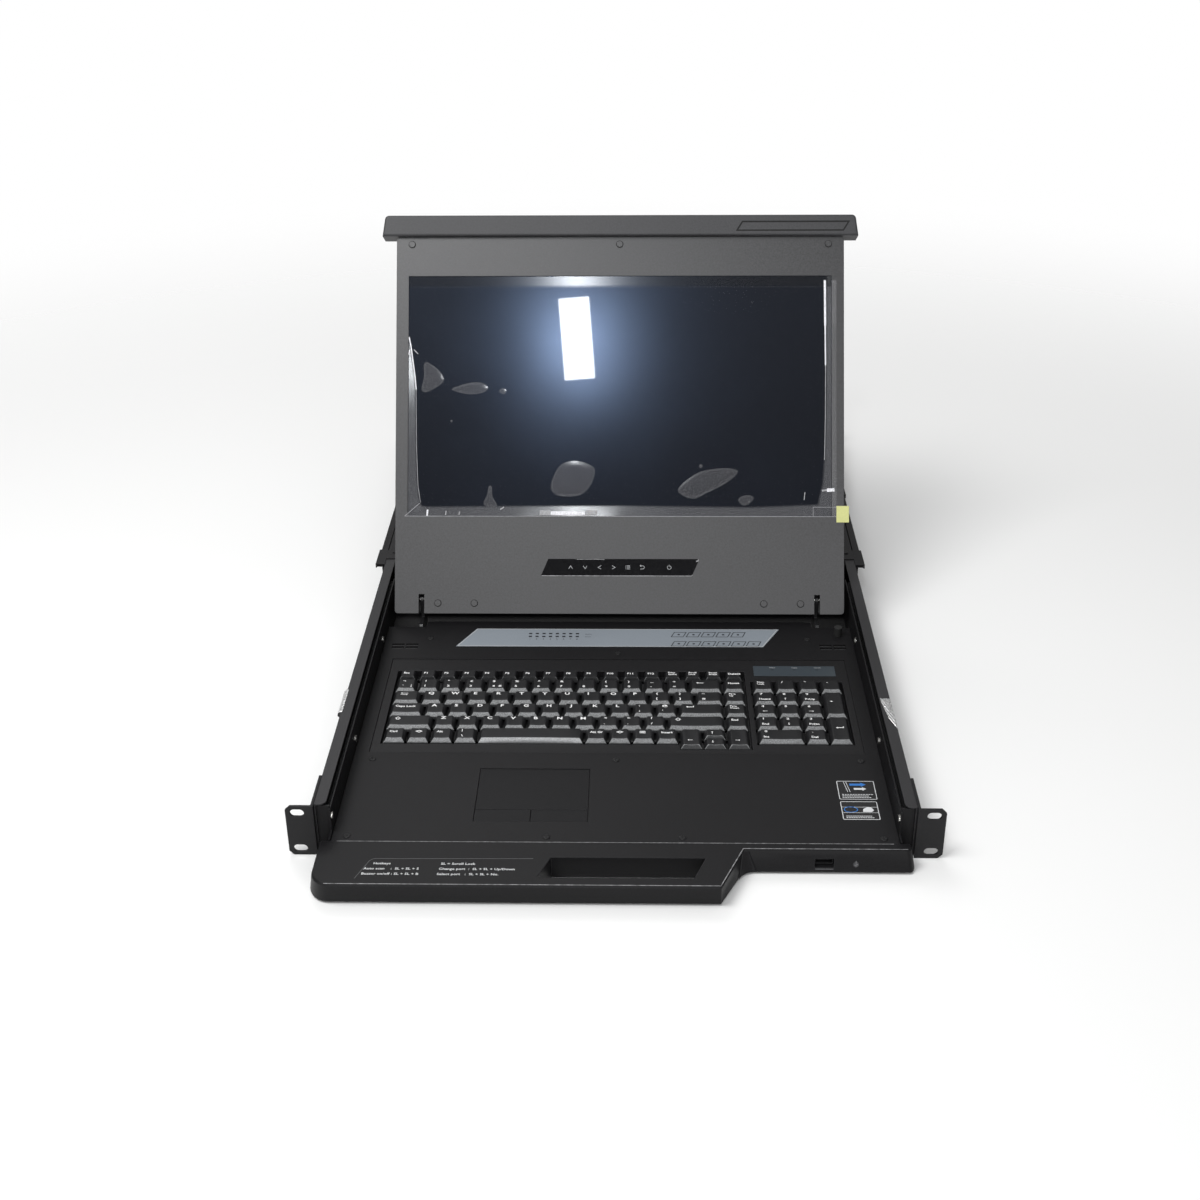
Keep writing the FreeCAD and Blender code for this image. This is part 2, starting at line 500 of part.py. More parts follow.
# ---------------------------------------------------------------- moulded front lip
def lip_outline(flare, rake, inset):
    """The lip's outline at one height: how far its ends flare, its front rakes back
    and its edge is drawn in there."""
    left, right = f"-(lip_half + {flare} - {inset})", f"lip_half + {flare} - {inset}"
    front, step_front = f"lip_front + {rake} + {inset}", f"lip_right_front + {inset}"
    return [(left, "tray_front"),
            (left, f"{front} + lip_corner", f"{left} + lip_corner"), (f"{left} + lip_corner", front),
            (f"lip_step_x - lip_step_run - {inset}", front), (f"lip_step_x - {inset}", step_front),
            (f"{right} - lip_end_corner", step_front, f"{right} - lip_end_corner"),
            (right, f"{step_front} + lip_end_corner"), (right, "tray_front")]


lip = tapered("front_lip_block", [
    (lip_outline("lip_flare", "lip_rake", "lip_edge"), "lip_low"),
    (lip_outline("lip_flare", "lip_rake", "0"), "lip_low + lip_edge"),
    (lip_outline("0", "0", "0"), "lip_high - lip_edge"),
    (lip_outline("0", "0", "lip_edge"), "lip_high")])
handle = [("handle_left", "handle_front"), ("handle_right", "handle_front"),
          ("handle_right + handle_slant", "handle_rear"), ("handle_left + handle_slant", "handle_rear")]
cavity = [("-lip_half + 12", "lip_front + lip_rake + lip_wall + 3"),
          ("handle_left - lip_wall - 1", "lip_front + lip_rake + lip_wall + 3"),
          ("handle_left + handle_slant - lip_wall - 1", "tray_front - lip_wall"),
          ("-lip_half + 6", "tray_front - lip_wall")]
lip_tools = [plate("handle_hole", "top", handle, "lip_low - 1", "lip_high + 1"),
             plate("lip_hollow", "top", cavity, "lip_low - 1", "lip_high - lip_wall"),
             block("usb_window", ("usb_x - usb_wide / 2 - fit", "usb_x + usb_wide / 2 + fit"),
                   ("lip_front", "tray_front + 1"), ("usb_z - usb_tall / 2 - fit", "usb_z + usb_tall / 2 + fit")),
             rod("lamp_window", "y", "lamp_r", ("lamp_x", "lip_front", "lamp_z"), "tray_front - lip_front + 1")]
keep("front_lip", cut("front_lip_moulding", lip, lip_tools))


def tube_socket(name, x, y, z, wide, tall, wall, tongue_wide, tongue_tall, back=1):
    """A metal receptacle shell open at one end, with a contact tongue inside."""
    shell = cut(name + "_shell", block(name + "_case", (f"{x} - {wide} / 2", f"{x} + {wide} / 2"), y,
                                       (f"{z} - {tall} / 2", f"{z} + {tall} / 2")),
                [block(name + "_mouth", (f"{x} - {wide} / 2 + {wall}", f"{x} + {wide} / 2 - {wall}"),
                       (f"{y[0]} - 1", f"{y[1]} - 2 * {wall}") if back > 0 else
                       (f"{y[0]} + 2 * {wall}", f"{y[1]} + 1"),
                       (f"{z} - {tall} / 2 + {wall}", f"{z} + {tall} / 2 - {wall}"))])
    tongue = block(name + "_tongue", (f"{x} - ({tongue_wide}) / 2", f"{x} + ({tongue_wide}) / 2"),
                   (f"{y[0]} + 2", f"{y[1]} - {wall}") if back > 0 else (f"{y[0]} + {wall}", f"{y[1]} - 2"),
                   (f"{z} - {tongue_tall} / 2", f"{z} + {tongue_tall} / 2"))
    return joined(name, [shell, tongue])


keep("front_usb_socket", tube_socket("front_usb", "usb_x", ("lip_right_front + 1", "lip_right_front + 1 + usb_long"),
                                     "usb_z", "usb_wide", "usb_tall", "usb_shell", "usb_wide - 2.4", "1.8"))
keep("power_lamp", rod("power_lamp_lens", "y", "lamp_r", ("lamp_x", "lip_right_front + 0.5", "lamp_z"),
                       "tray_front - lip_right_front + 2"))

# ---------------------------------------------------------------- keyboard


def key(name, left, front, wide, deep, stem_y, slope="key_slope", taper="key_taper"):
    """One keycap: a skirt that narrows to its top, sloping most at the front, on a stem."""
    cap = doc.addObject("Part::Wedge", name)
    cap.Placement = FreeCAD.Placement(FreeCAD.Vector(), FreeCAD.Rotation(FreeCAD.Vector(1, 0, 0), 90))
    bind(cap, Xmin="0", Xmax=wide, X2min=taper, X2max=f"{wide} - {taper}",
         Ymin="0", Ymax="key_high - key_low", Zmin=f"-({deep})", Zmax="0",
         Z2min=f"key_back - ({deep})", Z2max=f"-{slope}", Placement__Base__x=left,
         Placement__Base__y=front, Placement__Base__z="key_low")
    middle = f"{left} + ({wide}) / 2"
    stem = block(name + "_stem", (f"{middle} - stem_wide / 2", f"{middle} + stem_wide / 2"),
                 (f"{stem_y} - stem_wide / 2", f"{stem_y} + stem_wide / 2"),
                 ("stem_low", "key_low + 1"))
    return joined(name + "_cap", [cap, stem])


def key_row(name, start, row, widths, tall=()):
    """Keys side by side from a start position, in pitches; tall ones cover two rows."""
    keys = []
    offset = 0.0
    for number, units in enumerate(widths):
        rows = 2 if number in tall else 1
        front = f"keys_front + {row - rows + 1} * row_pitch + key_gap / 2"
        keys.append(key(f"{name}_{number}", f"{start} + {offset} * key_pitch + key_gap / 2", front,
                        f"{units} * key_pitch - key_gap", f"{rows} * row_pitch - key_gap",
                        f"keys_front + {row - rows + 1.5} * row_pitch"))
        offset += units
    return keys


fkey_front = "keys_front + 5 * row_pitch + fkey_gap"
keep("function_keys", grouped("function_key_set", [
    key(f"function_key_{number}", f"keys_left + {number} * fkey_pitch + fkey_space / 2", fkey_front,
        "fkey_pitch - fkey_space", "fkey_deep", f"{fkey_front} + fkey_deep / 2", "fkey_slope", "fkey_taper")
    for number in range(17)]))
main_rows = {"number_keys": (4, [1] * 13 + [1.5, 1]), "upper_letter_keys": (3, [1.25] + [1] * 12 + [1.25, 1]),
             "home_letter_keys": (2, [1.5] + [1] * 11 + [2, 1]),
             "lower_letter_keys": (1, [2] + [1] * 10 + [2.5, 1])}
for node, (row, widths) in main_rows.items():
    keep(node, grouped(node + "_set", key_row(node, "keys_left", row, widths)))
bottom_right = "keys_left + 8.5 * key_pitch"
keep("bottom_keys", grouped("bottom_key_set", key_row("bottom_left_key", "keys_left", 0, [1] * 4)
                            + key_row("bottom_right_key", bottom_right, 0, [1] * 4)))
keep("space_bar", key_row("space_bar_key", "keys_left + 4 * key_pitch", 0, [4.5])[0])
arrow_left = "keys_left + 12.5 * key_pitch"
arrow_deep = "(row_pitch + arrow_drop) / 2 - key_gap"
arrows = []
arrow_tall = "row_pitch + arrow_drop - key_gap"
for name, column, level, deep in (("left", 0, 0, arrow_tall), ("down", 1, 0, arrow_deep), ("up", 1, 1, arrow_deep),
                                  ("right", 2, 0, arrow_tall)):
    front = f"keys_front - arrow_drop + {level} * ({arrow_deep} + key_gap) + key_gap / 2"
    arrows.append(key(f"{name}_arrow", f"{arrow_left} + {column} * key_pitch + key_gap / 2", front,
                      "key_pitch - key_gap", deep, f"{front} + ({arrow_deep}) / 2", "arrow_slope"))
keep("arrow_keys", grouped("arrow_key_set", arrows))
pad_keys = (key_row("pad_top", "pad_left", 4, [1] * 4)
            + key_row("pad_upper", "pad_left", 3, [1] * 4, tall=(3,))
            + key_row("pad_middle", "pad_left", 2, [1] * 3)
            + key_row("pad_lower", "pad_left", 1, [1] * 4, tall=(3,))
            + key_row("pad_bottom", "pad_left", 0, [2, 1]))
keep("number_pad_keys", grouped("number_pad_set", pad_keys))

# the moulded keyboard frame fills the deck's recess and leaves one well for each key block
well_gap = "well_gap"
keys_right = "keys_left + 15.5 * key_pitch"
frame_body = joined("frame_moulding", [
    block("frame_flange", ("-recess_half - frame_ledge", "recess_half + frame_ledge"),
          ("recess_front - frame_ledge", "recess_rear + frame_ledge"), ("frame_low", deck_low)),
    block("frame_face", ("fit - recess_half", "recess_half - fit"),
          ("recess_front + fit", "recess_rear - fit"), ("frame_low", "frame_high"))])
open_z = ("frame_low - 1", "frame_high + 1")
wells = [block("main_well", ("keys_left - well_gap", f"{keys_right} + well_gap"),
               ("keys_front - well_gap", f"{fkey_front} + fkey_deep + well_rear"), open_z),
         block("arrow_well", (f"{arrow_left} - well_gap / 2", f"{keys_right} + well_gap"),
               ("keys_front - arrow_drop - well_gap", "keys_front"), open_z),
         block("number_pad_well", ("pad_left - well_gap", "pad_left + 4 * key_pitch + well_gap"),
               ("keys_front - well_gap", "keys_front + 5 * row_pitch + well_gap"), open_z)]
keep("keyboard_frame", cut("keyboard_frame_cut", frame_body, wells))

# every stem slides in a slot of the guide plate under the frame
guide_tools = []
for row in range(5):
    for name, left, right in (("main", "keys_left", keys_right),
                              ("pad", "pad_left", "pad_left + 4 * key_pitch")):
        middle = f"keys_front + {row + 0.5} * row_pitch"
        if row == 0 and name == "main":
            right = arrow_left
        guide_tools.append(block(f"{name}_guide_{row}", (left, right),
                                 (f"{middle} - stem_wide / 2 - seat", f"{middle} + stem_wide / 2 + seat"),
                                 ("stem_low - 1", "frame_low + 1")))
for name, left, right, middle in (
        ("function", "keys_left", keys_right, f"{fkey_front} + fkey_deep / 2"),
        ("arrow_down", arrow_left, keys_right, f"keys_front - arrow_drop + key_gap / 2 + ({arrow_deep}) / 2"),
        ("arrow_up", arrow_left, keys_right,
         f"keys_front - arrow_drop + key_gap * 3 / 2 + ({arrow_deep}) * 3 / 2")):
    guide_tools.append(block(f"{name}_guide", (left, right),
                             (f"{middle} - stem_wide / 2 - seat", f"{middle} + stem_wide / 2 + seat"),
                             ("stem_low - 1", "frame_low + 1")))
guide = block("guide_sheet_metal", ("-recess_half - frame_ledge", "recess_half + frame_ledge"),
              ("recess_front - frame_ledge", "recess_rear + frame_ledge"),
              ("frame_low - guide_sheet", "frame_low"))
keep("key_guide_plate", cut("key_guide_cut", guide, guide_tools))
keep("indicator_strip", block("indicator_lens", ("strip_left", "strip_right"),
                              ("strip_front", "strip_rear"), ("frame_high", "frame_high + strip_proud")))

# ---------------------------------------------------------------- touchpad and status panel
line_gap = "touch_gap / 2"
keep("touchpad", block("touch_surface", ("touch_left", "touch_right"),
                       (f"touch_line + {line_gap}", "touch_rear"), ("touch_low", "touch_high")))
for node, left, right in (("left_touch_button", "touch_left", f"touch_split - {line_gap}"),
                          ("right_touch_button", f"touch_split + {line_gap}", "touch_right")):
    keep(node, block(node + "_cap", (left, right), ("touch_front", f"touch_line - {line_gap}"),
                     ("touch_button_low", "touch_high")))
holder_x = ("touch_left - fit - touch_rim", "touch_right + fit + touch_rim")
holder_y = ("touch_front - fit - touch_rim", "touch_rear + fit + touch_rim")
holder = cut("touch_holder_cut", block("touch_holder_body", holder_x, holder_y,
                                       ("touch_low - touch_sheet", deck_low)),
             [block("touch_holder_pocket", ("touch_left - fit", "touch_right + fit"),
                    ("touch_front - fit", "touch_rear + fit"), ("touch_low", "deck_high"))])
keep("touchpad_holder", holder)

slanted = [("panel_left", "panel_front"), ("panel_right - panel_slant", "panel_front"),
           ("panel_right", "panel_rear"), ("panel_left + panel_slant", "panel_rear")]
keep("status_panel", plate("status_overlay", "top", slanted, "deck_high", "deck_high + panel_sheet"))
keep("lid_stop", rod("lid_stop_rubber", "z", "stop_r", ("stop_x", "stop_y", "deck_high"),
                     "stop_high - deck_high"))

# ---------------------------------------------------------------- hinge arms on the drawer
side_view = [("arm_front", floor_top), ("arm_rear", floor_top), ("arm_rear", f"{floor_top} + 10"),
             ("hinge_y + arm_half", "arm_foot"), ("hinge_y + arm_half", "hinge_z"),
             ("hinge_y - arm_half", "hinge_z"), ("hinge_y - arm_half", "arm_foot"),
             ("arm_front + 1.5", "arm_foot"), ("arm_front", "arm_foot - 1.5")]
arm_x = ("hinge_x - arm_sheet / 2", "hinge_x + arm_sheet / 2")
arm = joined("hinge_arm_bent", [
    plate("hinge_arm_blade", "side", side_view, *arm_x),
    rod("hinge_arm_eye", "x", "arm_half", (arm_x[0], "hinge_y", "hinge_z"), "arm_sheet"),
    block("hinge_arm_base", (f"{arm_x[0]} - arm_base", arm_x[1]), ("arm_front + 3", "arm_rear"),
          (floor_top, f"{floor_top} + arm_sheet / 2"))])
bored = cut("hinge_arm_bored", arm, [rod("hinge_arm_bore", "x", "pin_r + pin_play",
                                         (f"{arm_x[0]} - 1", "hinge_y", "hinge_z"), "arm_sheet + 2")])
keep("hinge_arms", pair("hinge_arm_pair", bored))

# ---------------------------------------------------------------- display, drawn flat
# Y runs up the display from its lower edge, Z = 0 is its front face
lid_half = "lid_wide / 2"
face_back = "-lid_sheet"
lid_back = "-lid_thick"


def hinge_slot(name, reach, depth):
    """The slots on both sides that the hinge arms pass through."""
    return [block(name, (f"{side} * hinge_x - slot_wide / 2", f"{side} * hinge_x + slot_wide / 2"),
                  ("-1", reach), depth) for side in (-1, 1)]


lid_outline = [(f"-{lid_half}", "0"), (lid_half, "0"), (lid_half, "lid_long"), (f"-{lid_half}", "lid_long")]
face = plate("lid_face_sheet", "top", lid_outline, face_back, "0")
softened(face, "lid_corner", lambda at, way: upright(way))
lid_spots = [(x, "lid_long - spot_lid_top") for x in ("-spot_lid_x", "0", "spot_lid_x")]
lid_spots += [(f"{side} * (spot_lid_x - {gap})", "spot_lid_low") for side in (-1, 1)
              for gap in ("spot_lid_near", "spot_lid_far")]
face_tools = [block("window_hole", ("-window_wide / 2", "window_wide / 2"),
                    ("window_low", "window_high"), ("-5", "5"))] + hinge_slot("face_slot", "slot_long", ("-5", "5"))
face_tools += [screw_hole(f"face_hole_{number}", x, y, "-3", "1") for number, (x, y) in enumerate(lid_spots)]
keep_tilted("lid_front", cut("lid_front_cut", face, face_tools))

shell_box = plate("lid_back_box", "top", lid_outline, lid_back, face_back)
softened(shell_box, "lid_corner", lambda at, way: upright(way))
shell_tools = [block("lid_hollow", (f"lid_sheet - {lid_half}", f"{lid_half} - lid_sheet"),
                     ("lid_sheet", "lid_long - lid_sheet"), ("lid_sheet - lid_thick", "1"))]
shell_tools += hinge_slot("shell_slot", "slot_back", ("-lid_thick - 1", "1"))
keep_tilted("lid_back", cut("lid_back_cut", shell_box, shell_tools))

glass_x = ("-window_wide / 2 - glass_rim", "window_wide / 2 + glass_rim")
keep_tilted("display_panel", block("display_module", glass_x, ("window_low - glass_rim", "window_high + glass_rim"),
                                   (f"{face_back} - glass_thick", face_back)))
keep_tilted("screen_film", block("film_sheet_clear", ("fit - window_wide / 2", "window_wide / 2 - fit"),
                                 ("window_low + fit", "window_high - fit"), (face_back, f"{face_back} + film_sheet")))
keep_tilted("film_tab", block("film_tab_strip", ("tab_left", "tab_right"), ("tab_low", "tab_high"),
                              ("0", "film_sheet")))
menu = [("menu_left", "menu_low"), ("menu_right - menu_slant", "menu_low"), ("menu_right", "menu_high"),
        ("menu_left + menu_slant", "menu_high")]
keep_tilted("menu_panel", plate("menu_overlay", "top", menu, "0", "menu_sheet"))
keep_tilted("lid_screws", grouped("lid_screw_set", [
    screw(f"lid_screw_{number}", x, y, "0", reach="screw_long / 2") for number, (x, y) in enumerate(lid_spots)]))

brackets, pins = [], []
bracket_reach = "pin_r + 3"
for number, (near, far) in enumerate((("hinge_x - slot_wide / 2 - bracket_wide", "hinge_x - slot_wide / 2"),
                                      ("hinge_x + slot_wide / 2", "hinge_x + slot_wide / 2 + bracket_wide"))):
    lug = block(f"hinge_lug_{number}", (near, far), (f"pin_up - {bracket_reach}", "pin_up + 12"),
                ("lid_sheet - lid_thick", face_back))
    brackets.append(cut(f"hinge_lug_bored_{number}", lug, [
        rod(f"hinge_lug_bore_{number}", "x", "pin_r", (f"{near} - 1", "pin_up", "-pin_behind"),
            "bracket_wide + 2")]))
keep_tilted("hinge_brackets", pair("hinge_bracket_pair", grouped("hinge_bracket_set", brackets)))
keep_tilted("hinge_pins", pair("hinge_pin_pair", rod(
    "hinge_pin", "x", "pin_r", ("hinge_x - slot_wide / 2 - bracket_wide", "pin_up", "-pin_behind"),
    "slot_wide + 2 * bracket_wide")))

# the moulded bar across the top closes the front of the rack slot
bar_points = [("-bar_half", "lid_long"), ("bar_half", "lid_long"),
              ("bar_half - bar_narrow", "lid_long + bar_deep"), ("bar_narrow - bar_half", "lid_long + bar_deep")]
bar = plate("top_bar_moulding", "top", bar_points, lid_back, "bar_proud")
softened(bar, "2 * bar_edge", lambda at, way: upright(way) and at.y > size("lid_long") + 5)
softened(bar, "bar_edge", lambda at, way: abs(at.z - size("bar_proud")) < 0.01)
slot_points = [("insert_left", "lid_long + insert_low"), ("insert_right - insert_slant", "lid_long + insert_low"),
               ("insert_right", "lid_long + insert_low + insert_tall"),
               ("insert_left + insert_slant", "lid_long + insert_low + insert_tall")]
keep_tilted("top_bar", cut("top_bar_recessed", bar, [
    plate("bar_recess", "top", slot_points, "bar_proud - insert_deep", "bar_proud + 1")]))
keep_tilted("bar_insert", plate("bar_insert_strip", "top", slot_points, "bar_proud - insert_deep",
                                "bar_proud - insert_deep + insert_sheet"))

# ---------------------------------------------------------------- rear rails and their clips
rail_mid = "ear_tall / 2"
rail_low, rail_high = f"{rail_mid} - rail_tall / 2", f"{rail_mid} + rail_tall / 2"
rail_x = f"{half} + clip_sheet + clip_gap"
rail_rear = "rail_front + rail_long"
rail_c = [(rail_x, rail_low), (f"{rail_x} + rail_deep", rail_low),
          (f"{rail_x} + rail_deep", f"{rail_low} + rail_sheet"), (f"{rail_x} + rail_sheet", f"{rail_low} + rail_sheet"),
          (f"{rail_x} + rail_sheet", f"{rail_high} - rail_sheet"), (f"{rail_x} + rail_deep", f"{rail_high} - rail_sheet"),
          (f"{rail_x} + rail_deep", rail_high), (rail_x, rail_high)]
rail = plate("rear_rail_channel", "front", rail_c, "rail_front", rail_rear)
leg_x = f"{rail_x} + rail_sheet"
for side, word in ((1, "right"), (-1, "left")):
    keep(f"{word}_rail", rail if side > 0 else mirrored("left_rail_channel", rail))
    keep(f"{word}_rail_ear", rack_ear(f"{word}_rail_ear", side, leg_x, (rail_rear, f"{rail_rear} + rail_ear_sheet"),
                                      (leg_x, f"{leg_x} + rail_ear_sheet"),
                                      (f"{rail_rear} - rail_ear_leg", rail_rear),
                                      (f"{rail_low} + rail_sheet", f"{rail_high} - rail_sheet"), "ear_corner"))
clips = []
clip_out = f"{rail_x} + rail_deep + clip_gap"
hook_low, hook_high = f"{rail_low} - clip_gap", f"{rail_high} + clip_gap"
clip_c = [(half, "0"), (f"{clip_out} + clip_sheet", "0"), (f"{clip_out} + clip_sheet", f"{hook_low} + clip_lip"),
          (clip_out, f"{hook_low} + clip_lip"), (clip_out, hook_low), (f"{half} + clip_sheet", hook_low),
          (f"{half} + clip_sheet", hook_high), (clip_out, hook_high), (clip_out, f"{hook_high} - clip_lip"),
          (f"{clip_out} + clip_sheet", f"{hook_high} - clip_lip"), (f"{clip_out} + clip_sheet", "ear_tall"),
          (half, "ear_tall")]
for number in range(2):
    start = f"clip_front + {number} * clip_step"
    clips.append(plate(f"rail_clip_{number}", "front", clip_c, start, f"{start} + clip_long"))
keep("rail_clips", pair("rail_clip_pairs", grouped("rail_clip_set", clips)))

# ---------------------------------------------------------------- rear panel and electronics
panel_y = ("chassis_rear - chassis_sheet", "chassis_rear")
sockets_video, sockets_data, panel_tools = [], [], []
board_top = "board_z + board_thick"
inlet_y = ("chassis_rear - inlet_deep", "chassis_rear + inlet_flange")
hole = "panel_hole_gap"
for port in range(PORTS):
    video_x = f"port_left + {port} * port_step"
    data_x = f"{video_x} + video_wide / 2 + port_space + data_wide / 2"
    video_z, data_z = f"{board_top} + video_tall / 2", f"{board_top} + data_tall / 2"
    sockets_video.append(tube_socket(f"video_{port}", video_x, ("chassis_rear - video_deep", "chassis_rear"),
                                     video_z, "video_wide", "video_tall", "port_shell", "9", "1.2", back=-1))
    sockets_data.append(tube_socket(f"data_{port}", data_x, ("chassis_rear - data_deep", "chassis_rear"),
                                    data_z, "data_wide", "data_tall", "port_shell * 2", "5.6", "3.2", back=-1))
    for x, z, wide, tall in ((video_x, video_z, "video_wide", "video_tall"), (data_x, data_z, "data_wide", "data_tall")):
        panel_tools.append(block("port_hole", (f"{x} - {wide} / 2 - {hole}", f"{x} + {wide} / 2 + {hole}"),
                                 (f"{panel_y[0]} - 1", f"{panel_y[1]} + 1"),
                                 (f"{z} - {tall} / 2 - {hole}", f"{z} + {tall} / 2 + {hole}")))
for x, wide, tall in (("inlet_x", "inlet_wide - 4", "inlet_tall - 4"), ("rocker_x", "rocker_wide + 2", "rocker_tall + 2")):
    panel_tools.append(block("power_hole", (f"{x} - ({wide}) / 2 - {hole}", f"{x} + ({wide}) / 2 + {hole}"),
                             (f"{panel_y[0]} - 1", f"{panel_y[1]} + 1"),
                             (f"inlet_z - ({tall}) / 2 - {hole}", f"inlet_z + ({tall}) / 2 + {hole}")))
keep("rear_panel", cut("rear_panel_cut", block("rear_panel_sheet", (f"-({inner})", inner), panel_y,
                                               ("chassis_sheet", under)), panel_tools))
keep("video_sockets", grouped("video_socket_set", sockets_video))
keep("data_sockets", grouped("data_socket_set", sockets_data))

inlet_case = joined("inlet_case", [
    block("inlet_barrel", ("inlet_x - inlet_wide / 2 + 2", "inlet_x + inlet_wide / 2 - 2"), inlet_y,
          ("inlet_z - inlet_tall / 2 + 2", "inlet_z + inlet_tall / 2 - 2")),
    block("inlet_bezel", ("inlet_x - inlet_wide / 2", "inlet_x + inlet_wide / 2"),
          ("chassis_rear", "chassis_rear + inlet_flange"),
          ("inlet_z - inlet_tall / 2", "inlet_z + inlet_tall / 2"))])
cavity_rear = "chassis_rear + inlet_flange"
inlet_shell = cut("inlet_shell", inlet_case, [
    block("inlet_cavity", ("inlet_x - inlet_cavity_wide / 2", "inlet_x + inlet_cavity_wide / 2"),
          (f"{cavity_rear} - inlet_cavity_deep", f"{cavity_rear} + 1"),
          ("inlet_z - inlet_cavity_tall / 2", "inlet_z + inlet_cavity_tall / 2"))])
blades = [block(f"inlet_blade_{number}", (f"inlet_x + {across} - blade_thick / 2", f"inlet_x + {across} + blade_thick / 2"),
                (f"{cavity_rear} - inlet_cavity_deep - 1", f"{cavity_rear} - 3"),
                (f"inlet_z + {up}", f"inlet_z + {up} + blade_wide"))
          for number, (across, up) in enumerate(((-7, -3), (7, -3), (0, 1.5)))]
keep("power_inlet", joined("power_inlet_socket", [inlet_shell] + blades))

# the mains rocker turns about a pivot behind the panel, drawn with its upper half standing out
def rocker_point(reach, turn):
    """A corner of the rocker: how far from its pivot, and at what angle before the tilt."""
    angle = f"({turn} - rocker_tilt) * 1 deg"
    return f"chassis_rear - rocker_pivot + {reach} * cos({angle})", f"inlet_z + {reach} * sin({angle})"


rocker_profile = [rocker_point("rocker_r", "-rocker_spread"), rocker_point("rocker_dish", "0"),
                  rocker_point("rocker_r", "rocker_spread"), rocker_point("rocker_back", "146"),
                  rocker_point("rocker_back", "-146")]
rocker_x = ("rocker_x - rocker_wide / 2", "rocker_x + rocker_wide / 2")
keep("power_rocker", joined("rocker_on_pivot", [
    plate("rocker_paddle", "side", rocker_profile, *rocker_x),
    rod("rocker_pivot_pin", "x", "rocker_pin_r", (f"{rocker_x[0]} - seat / 2", "chassis_rear - rocker_pivot", "inlet_z"),
        "rocker_wide + seat")]))
switch_case = cut("rocker_housing_open", block(
    "rocker_housing", (f"{rocker_x[0]} - bezel_rim / 2", f"{rocker_x[1]} + bezel_rim / 2"),
    ("chassis_rear - 16", "chassis_rear + 1"),
    ("inlet_z - rocker_tall / 2 - bezel_rim / 2", "inlet_z + rocker_tall / 2 + bezel_rim / 2")), [
    block("rocker_pocket", (f"{rocker_x[0]} - seat", f"{rocker_x[1]} + seat"), ("chassis_rear - 10", "chassis_rear + 2"),
          ("inlet_z - rocker_tall / 2 - seat", "inlet_z + rocker_tall / 2 + seat"))])
keep("switch_housing", switch_case)

keep("switch_board", block("switch_board_sheet", ("board_left", "board_right"),
                           ("board_front", "chassis_rear - chassis_sheet - fit"), ("board_z", board_top)))
standoffs = [rod(f"standoff_{number}", "z", "standoff_r", (x, y, "chassis_sheet"), "board_z - chassis_sheet")
             for number, (x, y) in enumerate((x, y) for x in ("board_left + 8", "(board_left + board_right) / 2",
                                                             "board_right - 8")
                                             for y in ("board_front + 8", "chassis_rear - 20"))]
keep("board_standoffs", grouped("board_standoff_set", standoffs))
keep("power_supply", block("power_supply_case", ("supply_left", "supply_right"), ("supply_front", "supply_rear"),
                           ("chassis_sheet", "supply_tall")))

# ---------------------------------------------------------------- check and write
doc.recompute()
for item in doc.Objects:
    if "Invalid" in item.State or "Error" in item.State:
        raise RuntimeError(f"{item.Name} failed: {item.State}")
os.makedirs(STEP_FOLDER, exist_ok=True)
for item in nodes:
    shape = item.Shape
    if shape.isNull() or not shape.isValid() or not shape.Solids:
        raise RuntimeError(f"{item.Label} has no valid solid")
    shape.exportStep(os.path.join(STEP_FOLDER, item.Label + ".step"))
print(f"{len(nodes)} sub-parts written")
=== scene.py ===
import math

import bpy
import numpy as np
from mathutils import Matrix, Vector


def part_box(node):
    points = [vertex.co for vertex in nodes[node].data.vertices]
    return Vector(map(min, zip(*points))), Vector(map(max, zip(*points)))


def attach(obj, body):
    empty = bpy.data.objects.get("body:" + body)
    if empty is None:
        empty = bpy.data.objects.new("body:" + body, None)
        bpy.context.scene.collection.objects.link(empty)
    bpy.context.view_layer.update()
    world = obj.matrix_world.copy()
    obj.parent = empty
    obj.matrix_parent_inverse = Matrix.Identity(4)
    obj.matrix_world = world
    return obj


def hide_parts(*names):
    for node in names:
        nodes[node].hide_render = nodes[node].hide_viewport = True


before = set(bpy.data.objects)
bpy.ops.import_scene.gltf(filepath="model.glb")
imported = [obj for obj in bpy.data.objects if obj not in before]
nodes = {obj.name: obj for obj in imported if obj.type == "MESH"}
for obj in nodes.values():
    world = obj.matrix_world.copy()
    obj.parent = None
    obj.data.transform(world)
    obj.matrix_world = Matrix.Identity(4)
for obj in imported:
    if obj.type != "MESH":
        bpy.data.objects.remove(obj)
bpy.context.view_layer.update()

# ---------------------------------------------------------------- node helpers
# What every material below is made of: nodes with their values, mapped ranges,
# and the links between them.
MM = 0.001


def fill(made, values):
    """Sets the sockets of a node, given by name or number."""
    for socket, value in dict(values).items():
        made.inputs[socket].default_value = value


def node(tree, kind, values=(), **settings):
    """A node of the tree with its settings and the values of its sockets."""
    made = tree.nodes.new("ShaderNode" + kind)
    for name, value in settings.items():
        setattr(made, name, value)
    fill(made, values)
    return made


def group_node(tree, group, values=()):
    """The group as a node of a material, with its values by socket name."""
    made = node(tree, "Group")
    made.node_tree = group
    fill(made, values)
    return made


def span(tree, low, high, to_low, to_high, **settings):
    """A node that maps a value from low to high onto to_low to to_high."""
    ends = {"From Min": low, "From Max": high, "To Min": to_low, "To Max": to_high}
    return node(tree, "MapRange", ends, **settings)


def wire(tree, *links):
    """Links given as (node, output, node, input), with sockets by name or number."""
    for source, out, target, into in links:
        tree.links.new(source.outputs[out], target.inputs[into])


